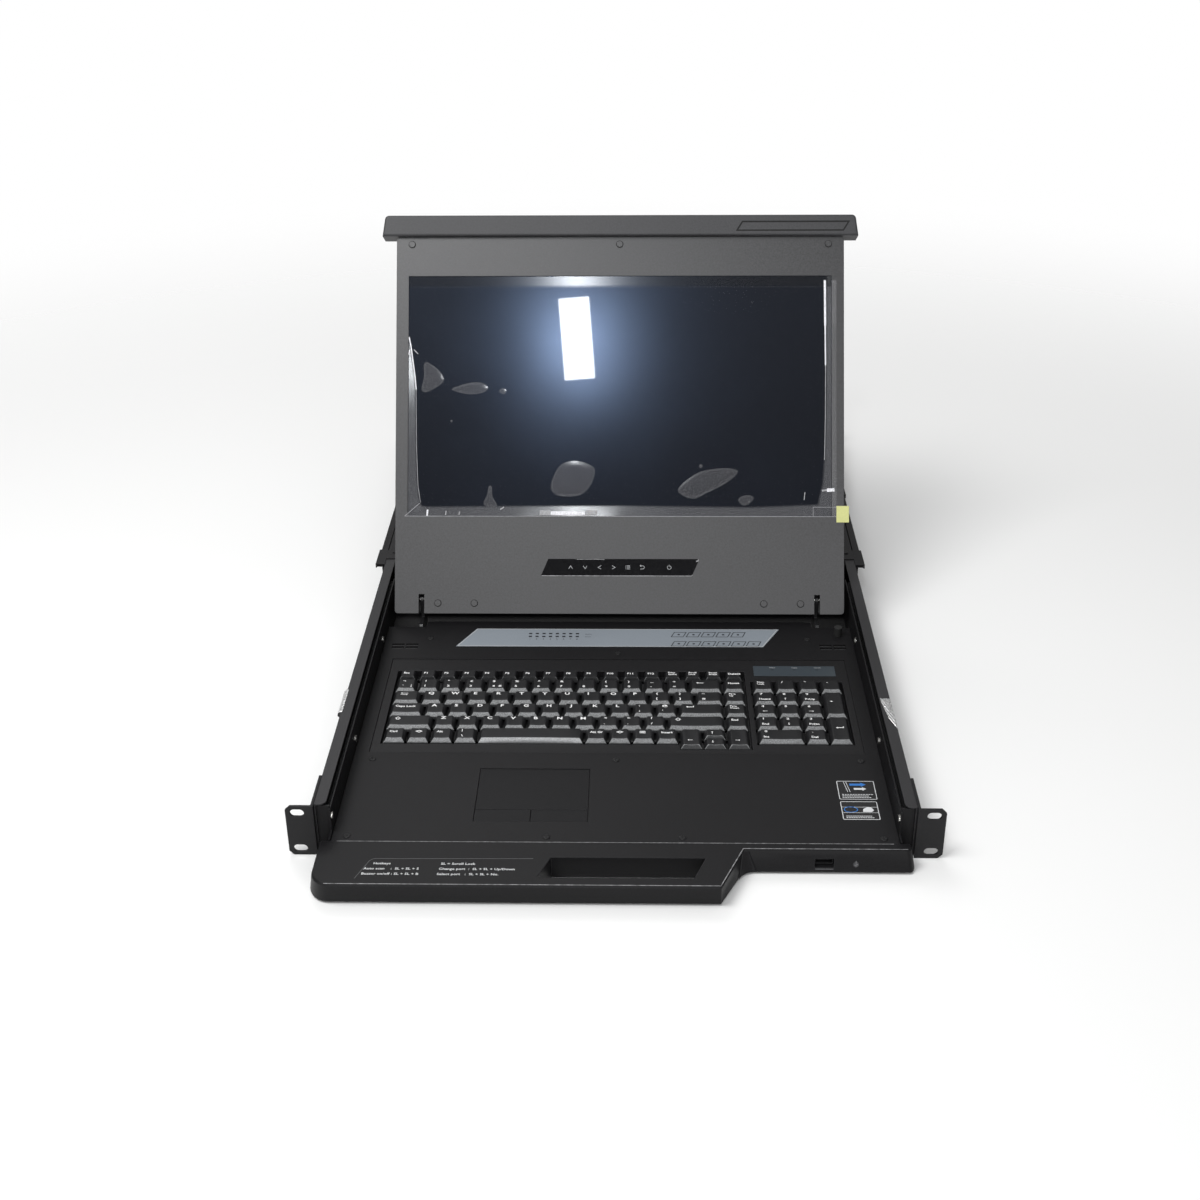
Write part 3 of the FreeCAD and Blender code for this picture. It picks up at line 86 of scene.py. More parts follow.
def new_group(name, inputs, outputs):
    """An empty shader node group with the named sockets, as (type, name, default)."""
    group = bpy.data.node_groups.new(name, "ShaderNodeTree")
    for kind, label, value in inputs:
        socket = group.interface.new_socket(label, in_out="INPUT", socket_type="NodeSocket" + kind)
        if value is not None:
            socket.default_value = value
    for kind, label in outputs:
        group.interface.new_socket(label, in_out="OUTPUT", socket_type="NodeSocket" + kind)
    return group, group.nodes.new("NodeGroupInput"), group.nodes.new("NodeGroupOutput")


def new_material(name, values=()):
    """A material with its node tree and its shader, whose sockets get the values."""
    material = bpy.data.materials.new(name)
    material.use_nodes = True
    shader = material.node_tree.nodes["Principled BSDF"]
    fill(shader, values)
    return material, material.node_tree, shader


# ---------------------------------------------------------------- studio
# A plain pale floor under a large soft light in front and overhead, a long low
# fill and one ceiling tube, whose image falls on the glossy display.
CAMERA_AT = (0.01414, -0.95671, 0.73782)
CAMERA_RIGHT = (0.999769, 0.019944, -0.007978)
CAMERA_UP = (-0.002544, 0.478739, 0.877953)
CAMERA_LENS = 48.37

scene = bpy.context.scene
scene.view_settings.view_transform = "Standard"

right, up = Vector(CAMERA_RIGHT), Vector(CAMERA_UP)
turned = Matrix((right, up, right.cross(up))).transposed().to_4x4()
camera = bpy.data.objects.new("camera", bpy.data.cameras.new("camera"))
camera.data.sensor_width, camera.data.lens = 36.0, CAMERA_LENS
camera.data.clip_start, camera.data.clip_end = 0.01, 30.0
camera.matrix_world = Matrix.Translation(CAMERA_AT) @ turned
scene.collection.objects.link(camera)
scene.camera = camera


def soft_light(name, at, towards, wide, deep, radiance, colour=(1.0, 1.0, 1.0)):
    """A rectangular lamp; its power is radiance times pi times its area."""
    lamp = bpy.data.lights.new(name, "AREA")
    lamp.shape, lamp.size, lamp.size_y = "RECTANGLE", wide, deep
    lamp.energy, lamp.color = radiance * math.pi * wide * deep, colour
    holder = bpy.data.objects.new(name, lamp)
    holder.location = at
    holder.rotation_mode = "QUATERNION"
    holder.rotation_quaternion = (Vector(towards) - Vector(at)).to_track_quat("-Z", "Y")
    scene.collection.objects.link(holder)
    return holder


soft_light("overhead_softbox", (-0.75, -0.35, 1.75), (0, 0.2, 0.1), 0.9, 0.7, 11.0)
soft_light("low_front_fill", (0.2, -2.4, 1.15), (0, 0.2, 0.1), 2.6, 0.8, 3.0)
soft_light("rear_softbox", (-0.5, 1.9, 2.1), (0, 0.3, 0.1), 1.4, 1.0, 3.0)

world = bpy.data.worlds.new("studio_air")
scene.world = world
world.use_nodes = True
air = world.node_tree
# the room is dim up to DIM_TO of a direction's height and bright above BRIGHT_FROM
DIM_TO, BRIGHT_FROM, DIM_ROOM, BRIGHT_ROOM = 0.57, 0.70, 0.26, 0.58
rays = node(air, "LightPath")
facing = node(air, "TexCoord")
height = node(air, "SeparateXYZ")
room = span(air, DIM_TO, BRIGHT_FROM, DIM_ROOM, BRIGHT_ROOM)
seen = node(air, "Mix", {"B": 1.0})
backdrop = air.nodes["Background"]
fill(backdrop, {"Color": (1.0, 1.0, 1.0, 1.0)})
wire(air, (facing, "Generated", height, 0), (height, "Z", room, "Value"), (room, 0, seen, "A"),
     (rays, "Is Camera Ray", seen, "Factor"), (seen, 0, backdrop, "Strength"))

FLOOR_HALF = 6.0
floor_mesh = bpy.data.meshes.new("floor")
floor_mesh.from_pydata([(x * FLOOR_HALF, y * FLOOR_HALF, 0.0) for x, y in ((-1, -1), (1, -1), (1, 1), (-1, 1))],
                       [], [(0, 1, 2, 3)])
floor = bpy.data.objects.new("floor", floor_mesh)
scene.collection.objects.link(floor)
# alpha is 1 within FADE_FROM of the origin and falls smoothly to 0 at FADE_TO
FADE_FROM, FADE_TO = 0.75, 1.9
FLOOR_LOOK = {"Base Color": (0.86, 0.86, 0.855, 1), "Roughness": 0.75}
floor_paint, tree, shader = new_material("pale_floor", FLOOR_LOOK)
place = node(tree, "TexCoord")
reach = node(tree, "VectorMath", operation="LENGTH")
fade = span(tree, FADE_FROM, FADE_TO, 1.0, 0.0, interpolation_type="SMOOTHSTEP")
wire(tree, (place, "Object", reach, 0), (reach, "Value", fade, "Value"), (fade, 0, shader, "Alpha"))
floor_mesh.materials.append(floor_paint)

# ---------------------------------------------------------------- sheet metal of the chassis
# The chassis, its cover, ears and rail clips are folded steel with a black powder
# coat: an orange-peel skin with fine speckle, painted lighter along the folds as a highlight.

# coat_skin: height is a noise the size of the orange peel, sheen one the size of the
# speckle, and tone is the base colour times the speckle and a slow drift
coat_skin, given, made = new_group(
    "coat_skin", [("Vector", "Place", None), ("Color", "Colour", None), ("Float", "Peel", 900.0),
                  ("Float", "Speckle", 650.0), ("Float", "Contrast", 0.3)],
    [("Color", "Tone"), ("Float", "Height"), ("Float", "Sheen")])
peel = node(coat_skin, "TexNoise", {"Detail": 2.0, "Roughness": 0.5})
grain = node(coat_skin, "TexNoise", {"Detail": 4.0, "Roughness": 0.65})
cloud = node(coat_skin, "TexNoise", {"Scale": 9.0, "Detail": 2.0})
spread = span(coat_skin, 0.3, 0.7, -1.0, 1.0, clamp=False)
drift = span(coat_skin, 0.3, 0.7, 0.94, 1.06)
weight = node(coat_skin, "Math", operation="MULTIPLY")
gain = node(coat_skin, "Math", {1: 1.0}, operation="ADD")
both = node(coat_skin, "Math", operation="MULTIPLY")
tone = node(coat_skin, "VectorMath", operation="SCALE")
wire(coat_skin, (given, "Place", peel, "Vector"), (given, "Place", grain, "Vector"),
     (given, "Place", cloud, "Vector"), (given, "Peel", peel, "Scale"), (given, "Speckle", grain, "Scale"),
     (grain, "Fac", spread, "Value"), (spread, 0, weight, 0), (given, "Contrast", weight, 1),
     (weight, 0, gain, 0), (cloud, "Fac", drift, "Value"), (gain, 0, both, 0), (drift, 0, both, 1),
     (given, "Colour", tone, 0), (both, 0, tone, "Scale"), (tone, 0, made, "Tone"),
     (peel, "Fac", made, "Height"), (grain, "Fac", made, "Sheen"))

# edge group: a bevelled normal against the true one is 1 on flats and falls at a
# corner, so one minus their product marks the edges and the bevel rounds them; the
# marked edges are mixed towards a lighter tone, a painted highlight
edge_highlight, given, made = new_group(
    "edge_highlight", [("Float", "Radius", 0.0006), ("Color", "Tone", None), ("Color", "Bright", None),
                  ("Float", "Amount", 0.5)], [("Color", "Tone"), ("Vector", "Normal")])
rounded = node(edge_highlight, "Bevel", samples=4)
flat = node(edge_highlight, "NewGeometry")
match = node(edge_highlight, "VectorMath", operation="DOT_PRODUCT")
edge = span(edge_highlight, 0.995, 0.72, 0.0, 1.0)
share = node(edge_highlight, "Math", operation="MULTIPLY")
blend = node(edge_highlight, "Mix", data_type="RGBA")
wire(edge_highlight, (given, "Radius", rounded, "Radius"), (rounded, 0, match, 0), (flat, "Normal", match, 1),
     (match, "Value", edge, "Value"), (edge, 0, share, 0), (given, "Amount", share, 1),
     (share, 0, blend, "Factor"), (given, "Tone", blend, "A"), (given, "Bright", blend, "B"),
     (blend, "Result", made, "Tone"), (rounded, 0, made, "Normal"))


def coated(name, colour, rough, highlight_tone=None, contrast=0.3, speckle=650.0, peel=900.0, bump=0.15, depth=0.00005,
           edge_highlight_amount=0.35, radius=0.0006, gloss=0.5, metal=0.0):
    """Paint or moulded plastic: coat_skin gives tone and height; the edge group rounds the edges and paints
    them lighter, a painted highlight.
    """
    material, tree, shader = new_material(name, {"Metallic": metal, "Specular IOR Level": gloss})
    place = node(tree, "TexCoord")
    skin = group_node(tree, coat_skin, {"Colour": (*colour, 1), "Peel": peel, "Speckle": speckle,
                                        "Contrast": contrast})
    edge_lit = group_node(tree, edge_highlight, {"Radius": radius, "Amount": edge_highlight_amount,
                                        "Bright": (*(highlight_tone or [min(1, 2.6 * c + 0.02) for c in colour]), 1)})
    shine = span(tree, 0.3, 0.7, rough - 0.06, rough + 0.06)
    relief = node(tree, "Bump", {"Strength": bump, "Distance": depth})
    wire(tree, (place, "Object", skin, "Place"), (skin, "Tone", edge_lit, "Tone"),
         (edge_lit, "Tone", shader, "Base Color"), (skin, "Sheen", shine, "Value"), (shine, 0, shader, "Roughness"),
         (skin, "Height", relief, "Height"), (edge_lit, "Normal", relief, "Normal"), (relief, 0, shader, "Normal"))
    return material


def ink(name, colour, rough=0.5, contrast=0.05, **more):
    """A flat print: a coat without relief or painted edge highlights."""
    return coated(name, colour, rough, contrast=contrast, edge_highlight_amount=0.0, bump=0.0, **more)


def dress(material, *names):
    """Give CAD nodes a material in place of the plain one that they came with."""
    for name in names:
        mesh = nodes[name].data
        mesh.materials.clear()
        mesh.materials.append(material)


chassis_paint = coated("chassis_powder_coat", (0.0105, 0.0102, 0.0112), 0.52, contrast=0.22, bump=0.25,
                       edge_highlight_amount=0.3, gloss=0.24)
dress(chassis_paint, "rear_cover", "right_ear", "left_ear", "rail_clips", "rear_panel",
      "right_rail_ear", "left_rail_ear")
# the tray takes a lit copy of the chassis coat: it is painted lighter for the light that falls on its flanges,
# a painted highlight
dress(coated("tray_powder_coat_lit", (0.025, 0.0245, 0.026), 0.50, contrast=0.22, bump=0.25, edge_highlight_amount=0.4, gloss=0.3),
      "chassis_tray")

# ---------------------------------------------------------------- slides and rivets
# Blackened steel, drawn through rolls, so its streaks run from front to rear. The
# rivets that hold the inner members have domed nickel heads.


def drawn_metal(name, colour, rough, along="y", streaks=900.0, contrast=0.12, bump=0.1):
    """Rolled or brushed metal: a noise stretched along one axis gives tone and height."""
    material, tree, shader = new_material(name, {"Metallic": 1.0})
    stretch = {"x": (6.0, streaks, streaks), "y": (streaks, 6.0, streaks), "z": (streaks, streaks, 6.0)}[along]
    place = node(tree, "TexCoord")
    scaled = node(tree, "Mapping", {"Scale": stretch})
    lines = node(tree, "TexNoise", {"Scale": 1.0, "Detail": 3.0})
    tone = span(tree, 0.3, 0.7, 1 - contrast, 1 + contrast)
    tint = node(tree, "VectorMath", {0: colour}, operation="SCALE")
    shine = span(tree, 0.3, 0.7, rough - 0.08, rough + 0.1)
    relief = node(tree, "Bump", {"Strength": bump, "Distance": 0.00003})
    wire(tree, (place, "Object", scaled, "Vector"), (scaled, 0, lines, "Vector"), (lines, "Fac", tone, "Value"),
         (tone, 0, tint, "Scale"), (tint, 0, shader, "Base Color"), (lines, "Fac", shine, "Value"),
         (shine, 0, shader, "Roughness"), (lines, "Fac", relief, "Height"), (relief, 0, shader, "Normal"))
    return material


dress(drawn_metal("blackened_steel", (0.030, 0.030, 0.031), 0.38), "outer_slides", "middle_slides",
      "inner_slides")
dress(drawn_metal("nickel_rivets", (0.62, 0.61, 0.58), 0.22, streaks=300.0), "wall_rivets", "hinge_pins")

# ---------------------------------------------------------------- rear electronics
# Behind the display: a green circuit board on brass pillars, a plated supply case,
# and rows of plated video and data sockets, with the mains inlet and its rocker.
tin = drawn_metal("tin_plate", (0.6, 0.6, 0.6), 0.3, along="x", streaks=500.0)
dress(tin, "video_sockets", "data_sockets", "power_supply")
dress(drawn_metal("turned_brass", (0.78, 0.6, 0.28), 0.28, along="z"), "board_standoffs")
dress(coated("solder_mask", (0.012, 0.10, 0.045), 0.35, contrast=0.1, edge_highlight_amount=0.1), "switch_board")
moulded_black = coated("inlet_moulding", (0.016, 0.016, 0.017), 0.45, contrast=0.12, peel=2500.0, bump=0.2)
dress(moulded_black, "power_inlet", "switch_housing", "power_rocker", "front_usb_socket")

# ---------------------------------------------------------------- rear support rails
# Aluminium channels brushed along their length and anodised black; each carries a
# powder coated ear at its far end.
rail_finish = drawn_metal("black_anodised", (0.034, 0.033, 0.034), 0.42, streaks=1300.0, contrast=0.35,
                          bump=0.3)
dress(rail_finish, "right_rail", "left_rail")

# ---------------------------------------------------------------- drawer tray and deck
# Folded steel in a charcoal powder coat with a fine matt texture.
deck_paint = coated("deck_powder_coat", (0.0072, 0.0069, 0.0077), 0.5, contrast=0.35, speckle=800.0, bump=0.3,
                    edge_highlight_amount=0.35, gloss=0.2)
dress(deck_paint, "drawer_tray", "keyboard_deck")
dress(coated("black_steel", (0.010, 0.010, 0.011), 0.35, contrast=0.15), "hinge_arms", "hinge_brackets",
      "key_guide_plate")
dress(coated("soft_rubber", (0.010, 0.010, 0.010), 0.7, contrast=0.15, edge_highlight_amount=0.1), "lid_stop")

# ---------------------------------------------------------------- moulded front lip
# One black moulding with a satin grain; the handle hole runs through it.
# its edges are painted lighter, a painted highlight
lip_plastic = coated("lip_moulding", (0.0090, 0.0088, 0.0096), 0.42, contrast=0.25, speckle=900.0, peel=1600.0,
                     bump=0.3, edge_highlight_amount=0.3, radius=0.0012, highlight_tone=(0.08, 0.08, 0.085), gloss=0.14)
dress(coated("lamp_lens", (0.06, 0.06, 0.065), 0.15, contrast=0.05, edge_highlight_amount=0.0), "power_lamp")

# ---------------------------------------------------------------- keyboard
# its edges, such as the rim of the keys' well, are painted lighter, a painted highlight
frame_plastic = coated("frame_moulding", (0.0078, 0.0075, 0.0083), 0.48, contrast=0.15, peel=2000.0, bump=0.25,
                       edge_highlight_amount=0.8, radius=0.0005, highlight_tone=(0.08, 0.08, 0.085), gloss=0.24)
dress(frame_plastic, "keyboard_frame", "touchpad_holder")


def put(name, points, faces, material, body, finish, sharp=35.0):
    """A mesh piece from an (n, 3) array of points and lists of corners, riding on a body."""
    mesh = bpy.data.meshes.new(name)
    mesh.from_pydata(np.asarray(points, float).tolist(), [], [list(map(int, face)) for face in faces])
    mesh.materials.append(material)
    mesh.shade_smooth()
    mesh.set_sharp_from_angle(angle=math.radians(sharp))
    piece = bpy.data.objects.new(name, mesh)
    scene.collection.objects.link(piece)
    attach(piece, body)
    return piece


def grid_faces(rows, columns):
    """Quads of an open grid of points that is numbered row by row."""
    index = np.arange(rows * columns).reshape(rows, columns)
    return np.stack([index[:-1, :-1], index[:-1, 1:], index[1:, 1:], index[1:, :-1]], -1).reshape(-1, 4)


def ring_faces(rings, around):
    """Quads that join each ring of a stack to the next, and wrap round."""
    level, step = np.meshgrid(np.arange(rings - 1), np.arange(around), indexing="ij")
    here, there = (level * around + step).ravel(), (level * around + (step + 1) % around).ravel()
    return np.stack([here, there, there + around, here + around], 1)


# the lip's front leans outward to its foot: over the solid's points, y falls by the
# lean times the share of the way down, and a corner's points move by how far they face
LEAN_MAIN, LEAN_STEP, LEAN_TOP, LEAN_LOW = 0.0035, 0.0045, 0.0173, 0.0020
STEP_FACE, STEP_X, STEP_FROM, STEP_OVER = -0.0153, 0.0855, -0.0108, 0.0045
# left of STEP_X only the foot's outer points move, those before FRONT_Y or left of SIDE_X
FRONT_Y, SIDE_X, FOOT_Z, MAIN_FROM, MAIN_OVER = -0.0505, -0.205, 0.0021, -0.037, 0.016
lip_node = nodes["front_lip"]
loose = np.array([lip_node.matrix_world @ vertex.co for vertex in lip_node.data.vertices])
lip_points, index = np.unique(loose.round(6), axis=0, return_inverse=True)
index = index.ravel()
lip_faces = [[index[corner] for corner in face.vertices] for face in lip_node.data.polygons]
lip_faces = [face for face in lip_faces if len(set(face)) == len(face)]
x, y, z = lip_points.T
down = np.clip((LEAN_TOP - z) / (LEAN_TOP - LEAN_LOW), 0, 1)
step = (x > STEP_X) * np.clip((STEP_FROM - y) / STEP_OVER, 0, 1)
outer = (z < FOOT_Z) & ((y < FRONT_Y) | (x < SIDE_X))
main = (x < STEP_X) * outer * np.clip((MAIN_FROM - y) / MAIN_OVER, 0, 1)
lip_points[:, 1] -= LEAN_MAIN * main + LEAN_STEP * step * down
lip = put("front_lip_moulding", lip_points, lip_faces, lip_plastic, "drawer", "lip_plastic", sharp=30.0)
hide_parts("front_lip")


def step_face(z):
    """Where the leaning face right of the handle stands at a height."""
    return STEP_FACE - LEAN_STEP * (LEAN_TOP - z) / (LEAN_TOP - LEAN_LOW)


# a fillet that widens to its foot fills the corner of the step
STEP_CORNER, SLANT_WAY, FILLET_HIGH, FILLET_LOW, FILLET_STEPS = 0.0940, (-0.385, -0.923), 0.004, 0.010, 9
FILLET_RINGS = 5
u = np.linspace(0, 1, FILLET_STEPS)[:, None]
rings = []
for z in np.linspace(LEAN_LOW, LEAN_TOP, FILLET_RINGS):
    corner = np.array([STEP_CORNER, step_face(z)])
    reach = FILLET_HIGH + (FILLET_LOW - FILLET_HIGH) * (LEAN_TOP - z) / (LEAN_TOP - LEAN_LOW)
    on_slant, on_face = corner + reach * np.array(SLANT_WAY), corner + (reach, 0)
    curve = (1 - u) ** 2 * on_slant + 2 * u * (1 - u) * corner + u ** 2 * on_face
    ring = np.concatenate([curve, [corner + (-0.0003, 0.0005)]])
    rings.append(np.column_stack([ring, np.full(len(ring), z)]))
around = FILLET_STEPS + 1
ends = [range(around - 1, -1, -1), range((FILLET_RINGS - 1) * around, FILLET_RINGS * around)]
put("step_fillet", np.concatenate(rings), ring_faces(FILLET_RINGS, around).tolist() + ends, lip_plastic,
    "drawer", "lip_plastic")

KEY_GAP, KEY_HIGH = 0.0008, 0.0198
ROW_PITCH = 0.01905
low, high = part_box("number_keys")
KEY_PITCH = (high.x - low.x + KEY_GAP) / 15.5
KEY_SIDE, KEY_SLOPE, KEY_BACK = 0.00285, 0.0047, 0.0002
# each ring of a cap: share of its taper, height, corner radius. A dark skirt stands
# under the sloped part, and the slope ends in a small round rim
CAP_RINGS = ((0.20, 0.0146, 0.0006), (0.24, 0.0168, 0.0006), (0.27, 0.0170, 0.0007), (0.93, 0.01953, 0.0010),
             (0.985, 0.01973, 0.0011), (1.05, KEY_HIGH, 0.0011))
CAP_DISH = (0.72, 0.4, 0.12)
CORNER_STEPS = 5
STEM_HALF, STEM_FOOT = 0.0018, 0.0090


def keycap(left, front, wide, deep, dish=0.0004, side=KEY_SIDE, slope=KEY_SLOPE, stem=None):
    """One cap: rounded rectangles that shrink as they rise, with a top that sinks as a
    shallow cylinder, z = top - dish (1 - u^2), with u across the cap from -1 to 1, and
    a square stem below. Returns its points, faces and the edges of its top."""
    turn = np.linspace(0, math.pi / 2, CORNER_STEPS)
    along = np.linspace(1, -1, 9)[1:-1]
    arc, sign = [], []
    for q, (x_sign, y_sign) in enumerate(((1, 1), (-1, 1), (-1, -1), (1, -1))):
        arc += [(math.cos(a + q * math.pi / 2), math.sin(a + q * math.pi / 2)) for a in turn]
        sign += [(x_sign, y_sign)] * CORNER_STEPS
        if q in (0, 2):
            arc += [(0, y_sign)] * len(along)
            sign += [(x_sign * x, y_sign) for x in along]
    arc, sign = np.array(arc, float), np.array(sign, float)
    middle = np.array([left + wide / 2, front + deep / 2])
    reach = wide / 2 - CAP_RINGS[-1][0] * side
    foot = np.array([middle[0], stem or middle[1]])
    levels = [np.column_stack([foot + sign * STEM_HALF, np.full(len(sign), height)])
              for height in (STEM_FOOT, CAP_RINGS[0][1])]
    for share, height, radius in CAP_RINGS:
        near = np.array([left + share * side, front + share * slope])
        far = np.array([left + wide - share * side, front + deep - share * KEY_BACK])
        centre, half = (near + far) / 2, (far - near) / 2 - radius
        flat = centre + sign * half + arc * radius
        sink = dish * np.clip(1 - ((flat[:, 0] - middle[0]) / reach) ** 2, 0, 1) * (share > 0.5)
        levels.append(np.column_stack([flat, height - sink]))
    rim = levels[-1][:, :2]
    for share in CAP_DISH:
        flat = centre + (rim - centre) * share
        levels.append(np.column_stack([flat, KEY_HIGH - dish * (1 - ((flat[:, 0] - middle[0]) / reach) ** 2)]))
    around = len(rim)
    points = np.concatenate(levels + [[[*centre, KEY_HIGH - dish]], [[*foot, STEM_FOOT]]])
    faces = ring_faces(len(levels), around).tolist()
    step = np.arange(around)
    last = (len(levels) - 1) * around
    faces += np.stack([last + step, last + (step + 1) % around, np.full(around, len(points) - 2)], 1).tolist()
    faces += np.stack([(step + 1) % around, step, np.full(around, len(points) - 1)], 1).tolist()
    faces = [face for face in faces if len({tuple(points[corner]) for corner in face}) == len(face)]
    return points, faces, (*rim.min(0), *rim.max(0)), dish


def gather(parts):
    """Joins (points, faces) lists into one pair, with each part's corners counted on."""
    points, faces, count = [], [], 0
    for some_points, some_faces in parts:
        points.append(np.asarray(some_points, float))
        faces += [[corner + count for corner in face] for face in some_faces]
        count += len(some_points)
    return np.concatenate(points), faces


written_before = {}


def written(text, size, weight=0.0, stretch=1.0):
    """Flat letters of a text as (points, faces), from its lower left corner, in metres;
    stretch widens them."""
    key = (text, size, weight, stretch)
    if key not in written_before:
        curve = bpy.data.curves.new("legend", "FONT")
        curve.body, curve.size, curve.resolution_u = text, size, 2
        curve.offset, curve.space_character = weight * size, 1.04
        holder = bpy.data.objects.new("legend", curve)
        scene.collection.objects.link(holder)
        bpy.context.view_layer.update()
        mesh = bpy.data.meshes.new_from_object(holder)
        points = np.empty(len(mesh.vertices) * 3)
        mesh.vertices.foreach_get("co", points)
        points = points.reshape(-1, 3)[:, :2] * (stretch, 1.0)
        faces = [list(face.vertices) for face in mesh.polygons]
        bpy.data.meshes.remove(mesh)
        bpy.data.objects.remove(holder)
        bpy.data.curves.remove(curve)
        written_before[key] = (points, faces)
    return written_before[key]


def ribbon(line, width, closed=False):
    """A flat stroke of constant width along a 2-D line, as (points, faces); each point is
    moved both ways along the mitre of its two sides."""
    line = np.asarray(line, float)
    if closed:
        ahead, behind = np.roll(line, -1, 0) - line, line - np.roll(line, 1, 0)
    else:
        ahead = np.diff(line, axis=0, append=line[-1:] * 2 - line[-2:-1])
        behind = np.diff(line, axis=0, prepend=line[:1] * 2 - line[1:2])
    across = [np.stack([-d[:, 1], d[:, 0]], 1) / np.linalg.norm(d, axis=1, keepdims=True)
              for d in (ahead, behind)]
    mitre = across[0] + across[1]
    mitre /= np.maximum((mitre * across[0]).sum(1, keepdims=True), 0.35)
    points = np.concatenate([line + mitre * width / 2, line - mitre * width / 2])
    count = len(line)
    here = np.arange(count if closed else count - 1)
    there = (here + 1) % count
    return points, np.stack([here, here + count, there + count, there], 1).tolist()


def shifted(mark, x=0.0, y=0.0):
    """A mark moved by x and y."""
    return mark[0] + (x, y), mark[1]


def solid(outline):
    """The inside of an outline as one face."""
    return np.asarray(outline, float), [list(range(len(outline)))]


def patch(x, y, wide, tall):
    """A flat rectangle about a point, by half its width and half its height."""
    return solid([(x - wide, y - tall), (x + wide, y - tall), (x + wide, y + tall), (x - wide, y + tall)])


FULL_TURN = np.linspace(0, 2 * math.pi, 40, endpoint=False)


def arc_line(x, y, wide, tall=None, turn=FULL_TURN):
    """Points round a centre, by half the width and half the height of their ellipse."""
    return np.stack([x + wide * np.cos(turn), y + (tall or wide) * np.sin(turn)], 1)


def arrow_mark(way, long=0.0040, head=0.0012, width=0.0005):
    """A thin arrow, drawn pointing left and then turned by quarter turns."""
    shaft = ribbon([(0.2 * long, 0), (long, 0)], width)
    tip = (np.array([(0, 0), (head, -head * 0.8), (head, head * 0.8)]), [[0, 1, 2]])
    points, faces = gather([shaft, tip])
    c, s = {"left": (1, 0), "down": (0, 1), "right": (-1, 0), "up": (0, -1)}[way]
    points = (points - (long / 2, 0)) @ np.array([[c, s], [-s, c]])
    return points, faces


def enter_mark(long=0.0066):
    """An arrow to the left whose shaft starts with a short rise."""
    end = long / 2 - 0.0004
    return gather([arrow_mark("left", long, 0.0016, 0.0009), ribbon([(end, 0), (end, 0.0017)], 0.0008)])


def shift_mark(size=0.0040):
    """A hollow broad arrow pointing up."""
    outline = np.array([(0, 1), (-1, 0), (-0.45, 0), (-0.45, -0.8), (0.45, -0.8), (0.45, 0), (1, 0)]) * size / 2
    return ribbon(outline, 0.0006, closed=True)


def diamond_mark(size=0.0046):
    """A plain hollow diamond."""
    return ribbon(np.array([(0, 0.62), (-1, 0), (0, -0.62), (1, 0)]) * size / 2, 0.0008, closed=True)


def menu_mark(size=0.0044):
    """A box with three lines in it."""
    box = np.array([(-0.9, -0.6), (0.9, -0.6), (0.9, 0.6), (-0.9, 0.6)]) * size / 2
    bars = [ribbon([(-0.3 * size, y * size), (0.3 * size, y * size)], 0.0004) for y in (-0.13, 0.03, 0.19)]
    return gather([ribbon(box, 0.0005, closed=True)] + bars)


def tab_mark():
    """Two arrows, one above the other, pointing both ways."""
    return gather([shifted(arrow_mark(way, 0.0062, 0.0013, 0.0006), 0, y)
                   for y, way in ((0.0010, "left"), (-0.0010, "right"))])


DRAWN = {"<-": lambda: arrow_mark("left"), "->": lambda: arrow_mark("right"),
         "up": lambda: arrow_mark("up", 0.0034), "dn": lambda: arrow_mark("down", 0.0034),
         "back": lambda: arrow_mark("left", 0.0062, 0.0015, 0.0008), "ent": enter_mark, "shift": shift_mark,
         "dia": diamond_mark, "menu": menu_mark, "tab": tab_mark}
# letter sizes by kind of legend, how far they stand from the cap's left edge, and a
# capital's height over its size
LETTER, SIGN, WORD, SMALL = 0.0050, 0.0037, 0.0036, 0.0028
LETTER_IN, WORD_IN, CAP_SHARE = 0.0026, 0.0015, 0.73
# a top deeper than TALL carries its legend in its middle, or in a band at its front
TALL, LOW_BAND, MIDDLE_BAND = 0.022, 0.0107, 0.0048
# the least margins on the left and right, and the margin right of a third line
LEAST_LEFT, LEAST_RIGHT, THIRD_RIGHT = 0.0004, 0.0006, 0.0016
# from the top's rear edge to the middle of a lone drawn mark and of the first of two,
# and to the head of a single sign, of a word and of two words; from its front edge to
# the middle of a second mark and to the foot of a second line; and the line spacing
MARK_DOWN, FIRST_MARK_DOWN, SIGN_DOWN, WORD_DOWN, PAIR_DOWN = 0.0042, 0.0024, 0.0009, 0.0030, 0.0014
MARK_UP, LINE_UP, SPACING = 0.0034, 0.0017, 1.02


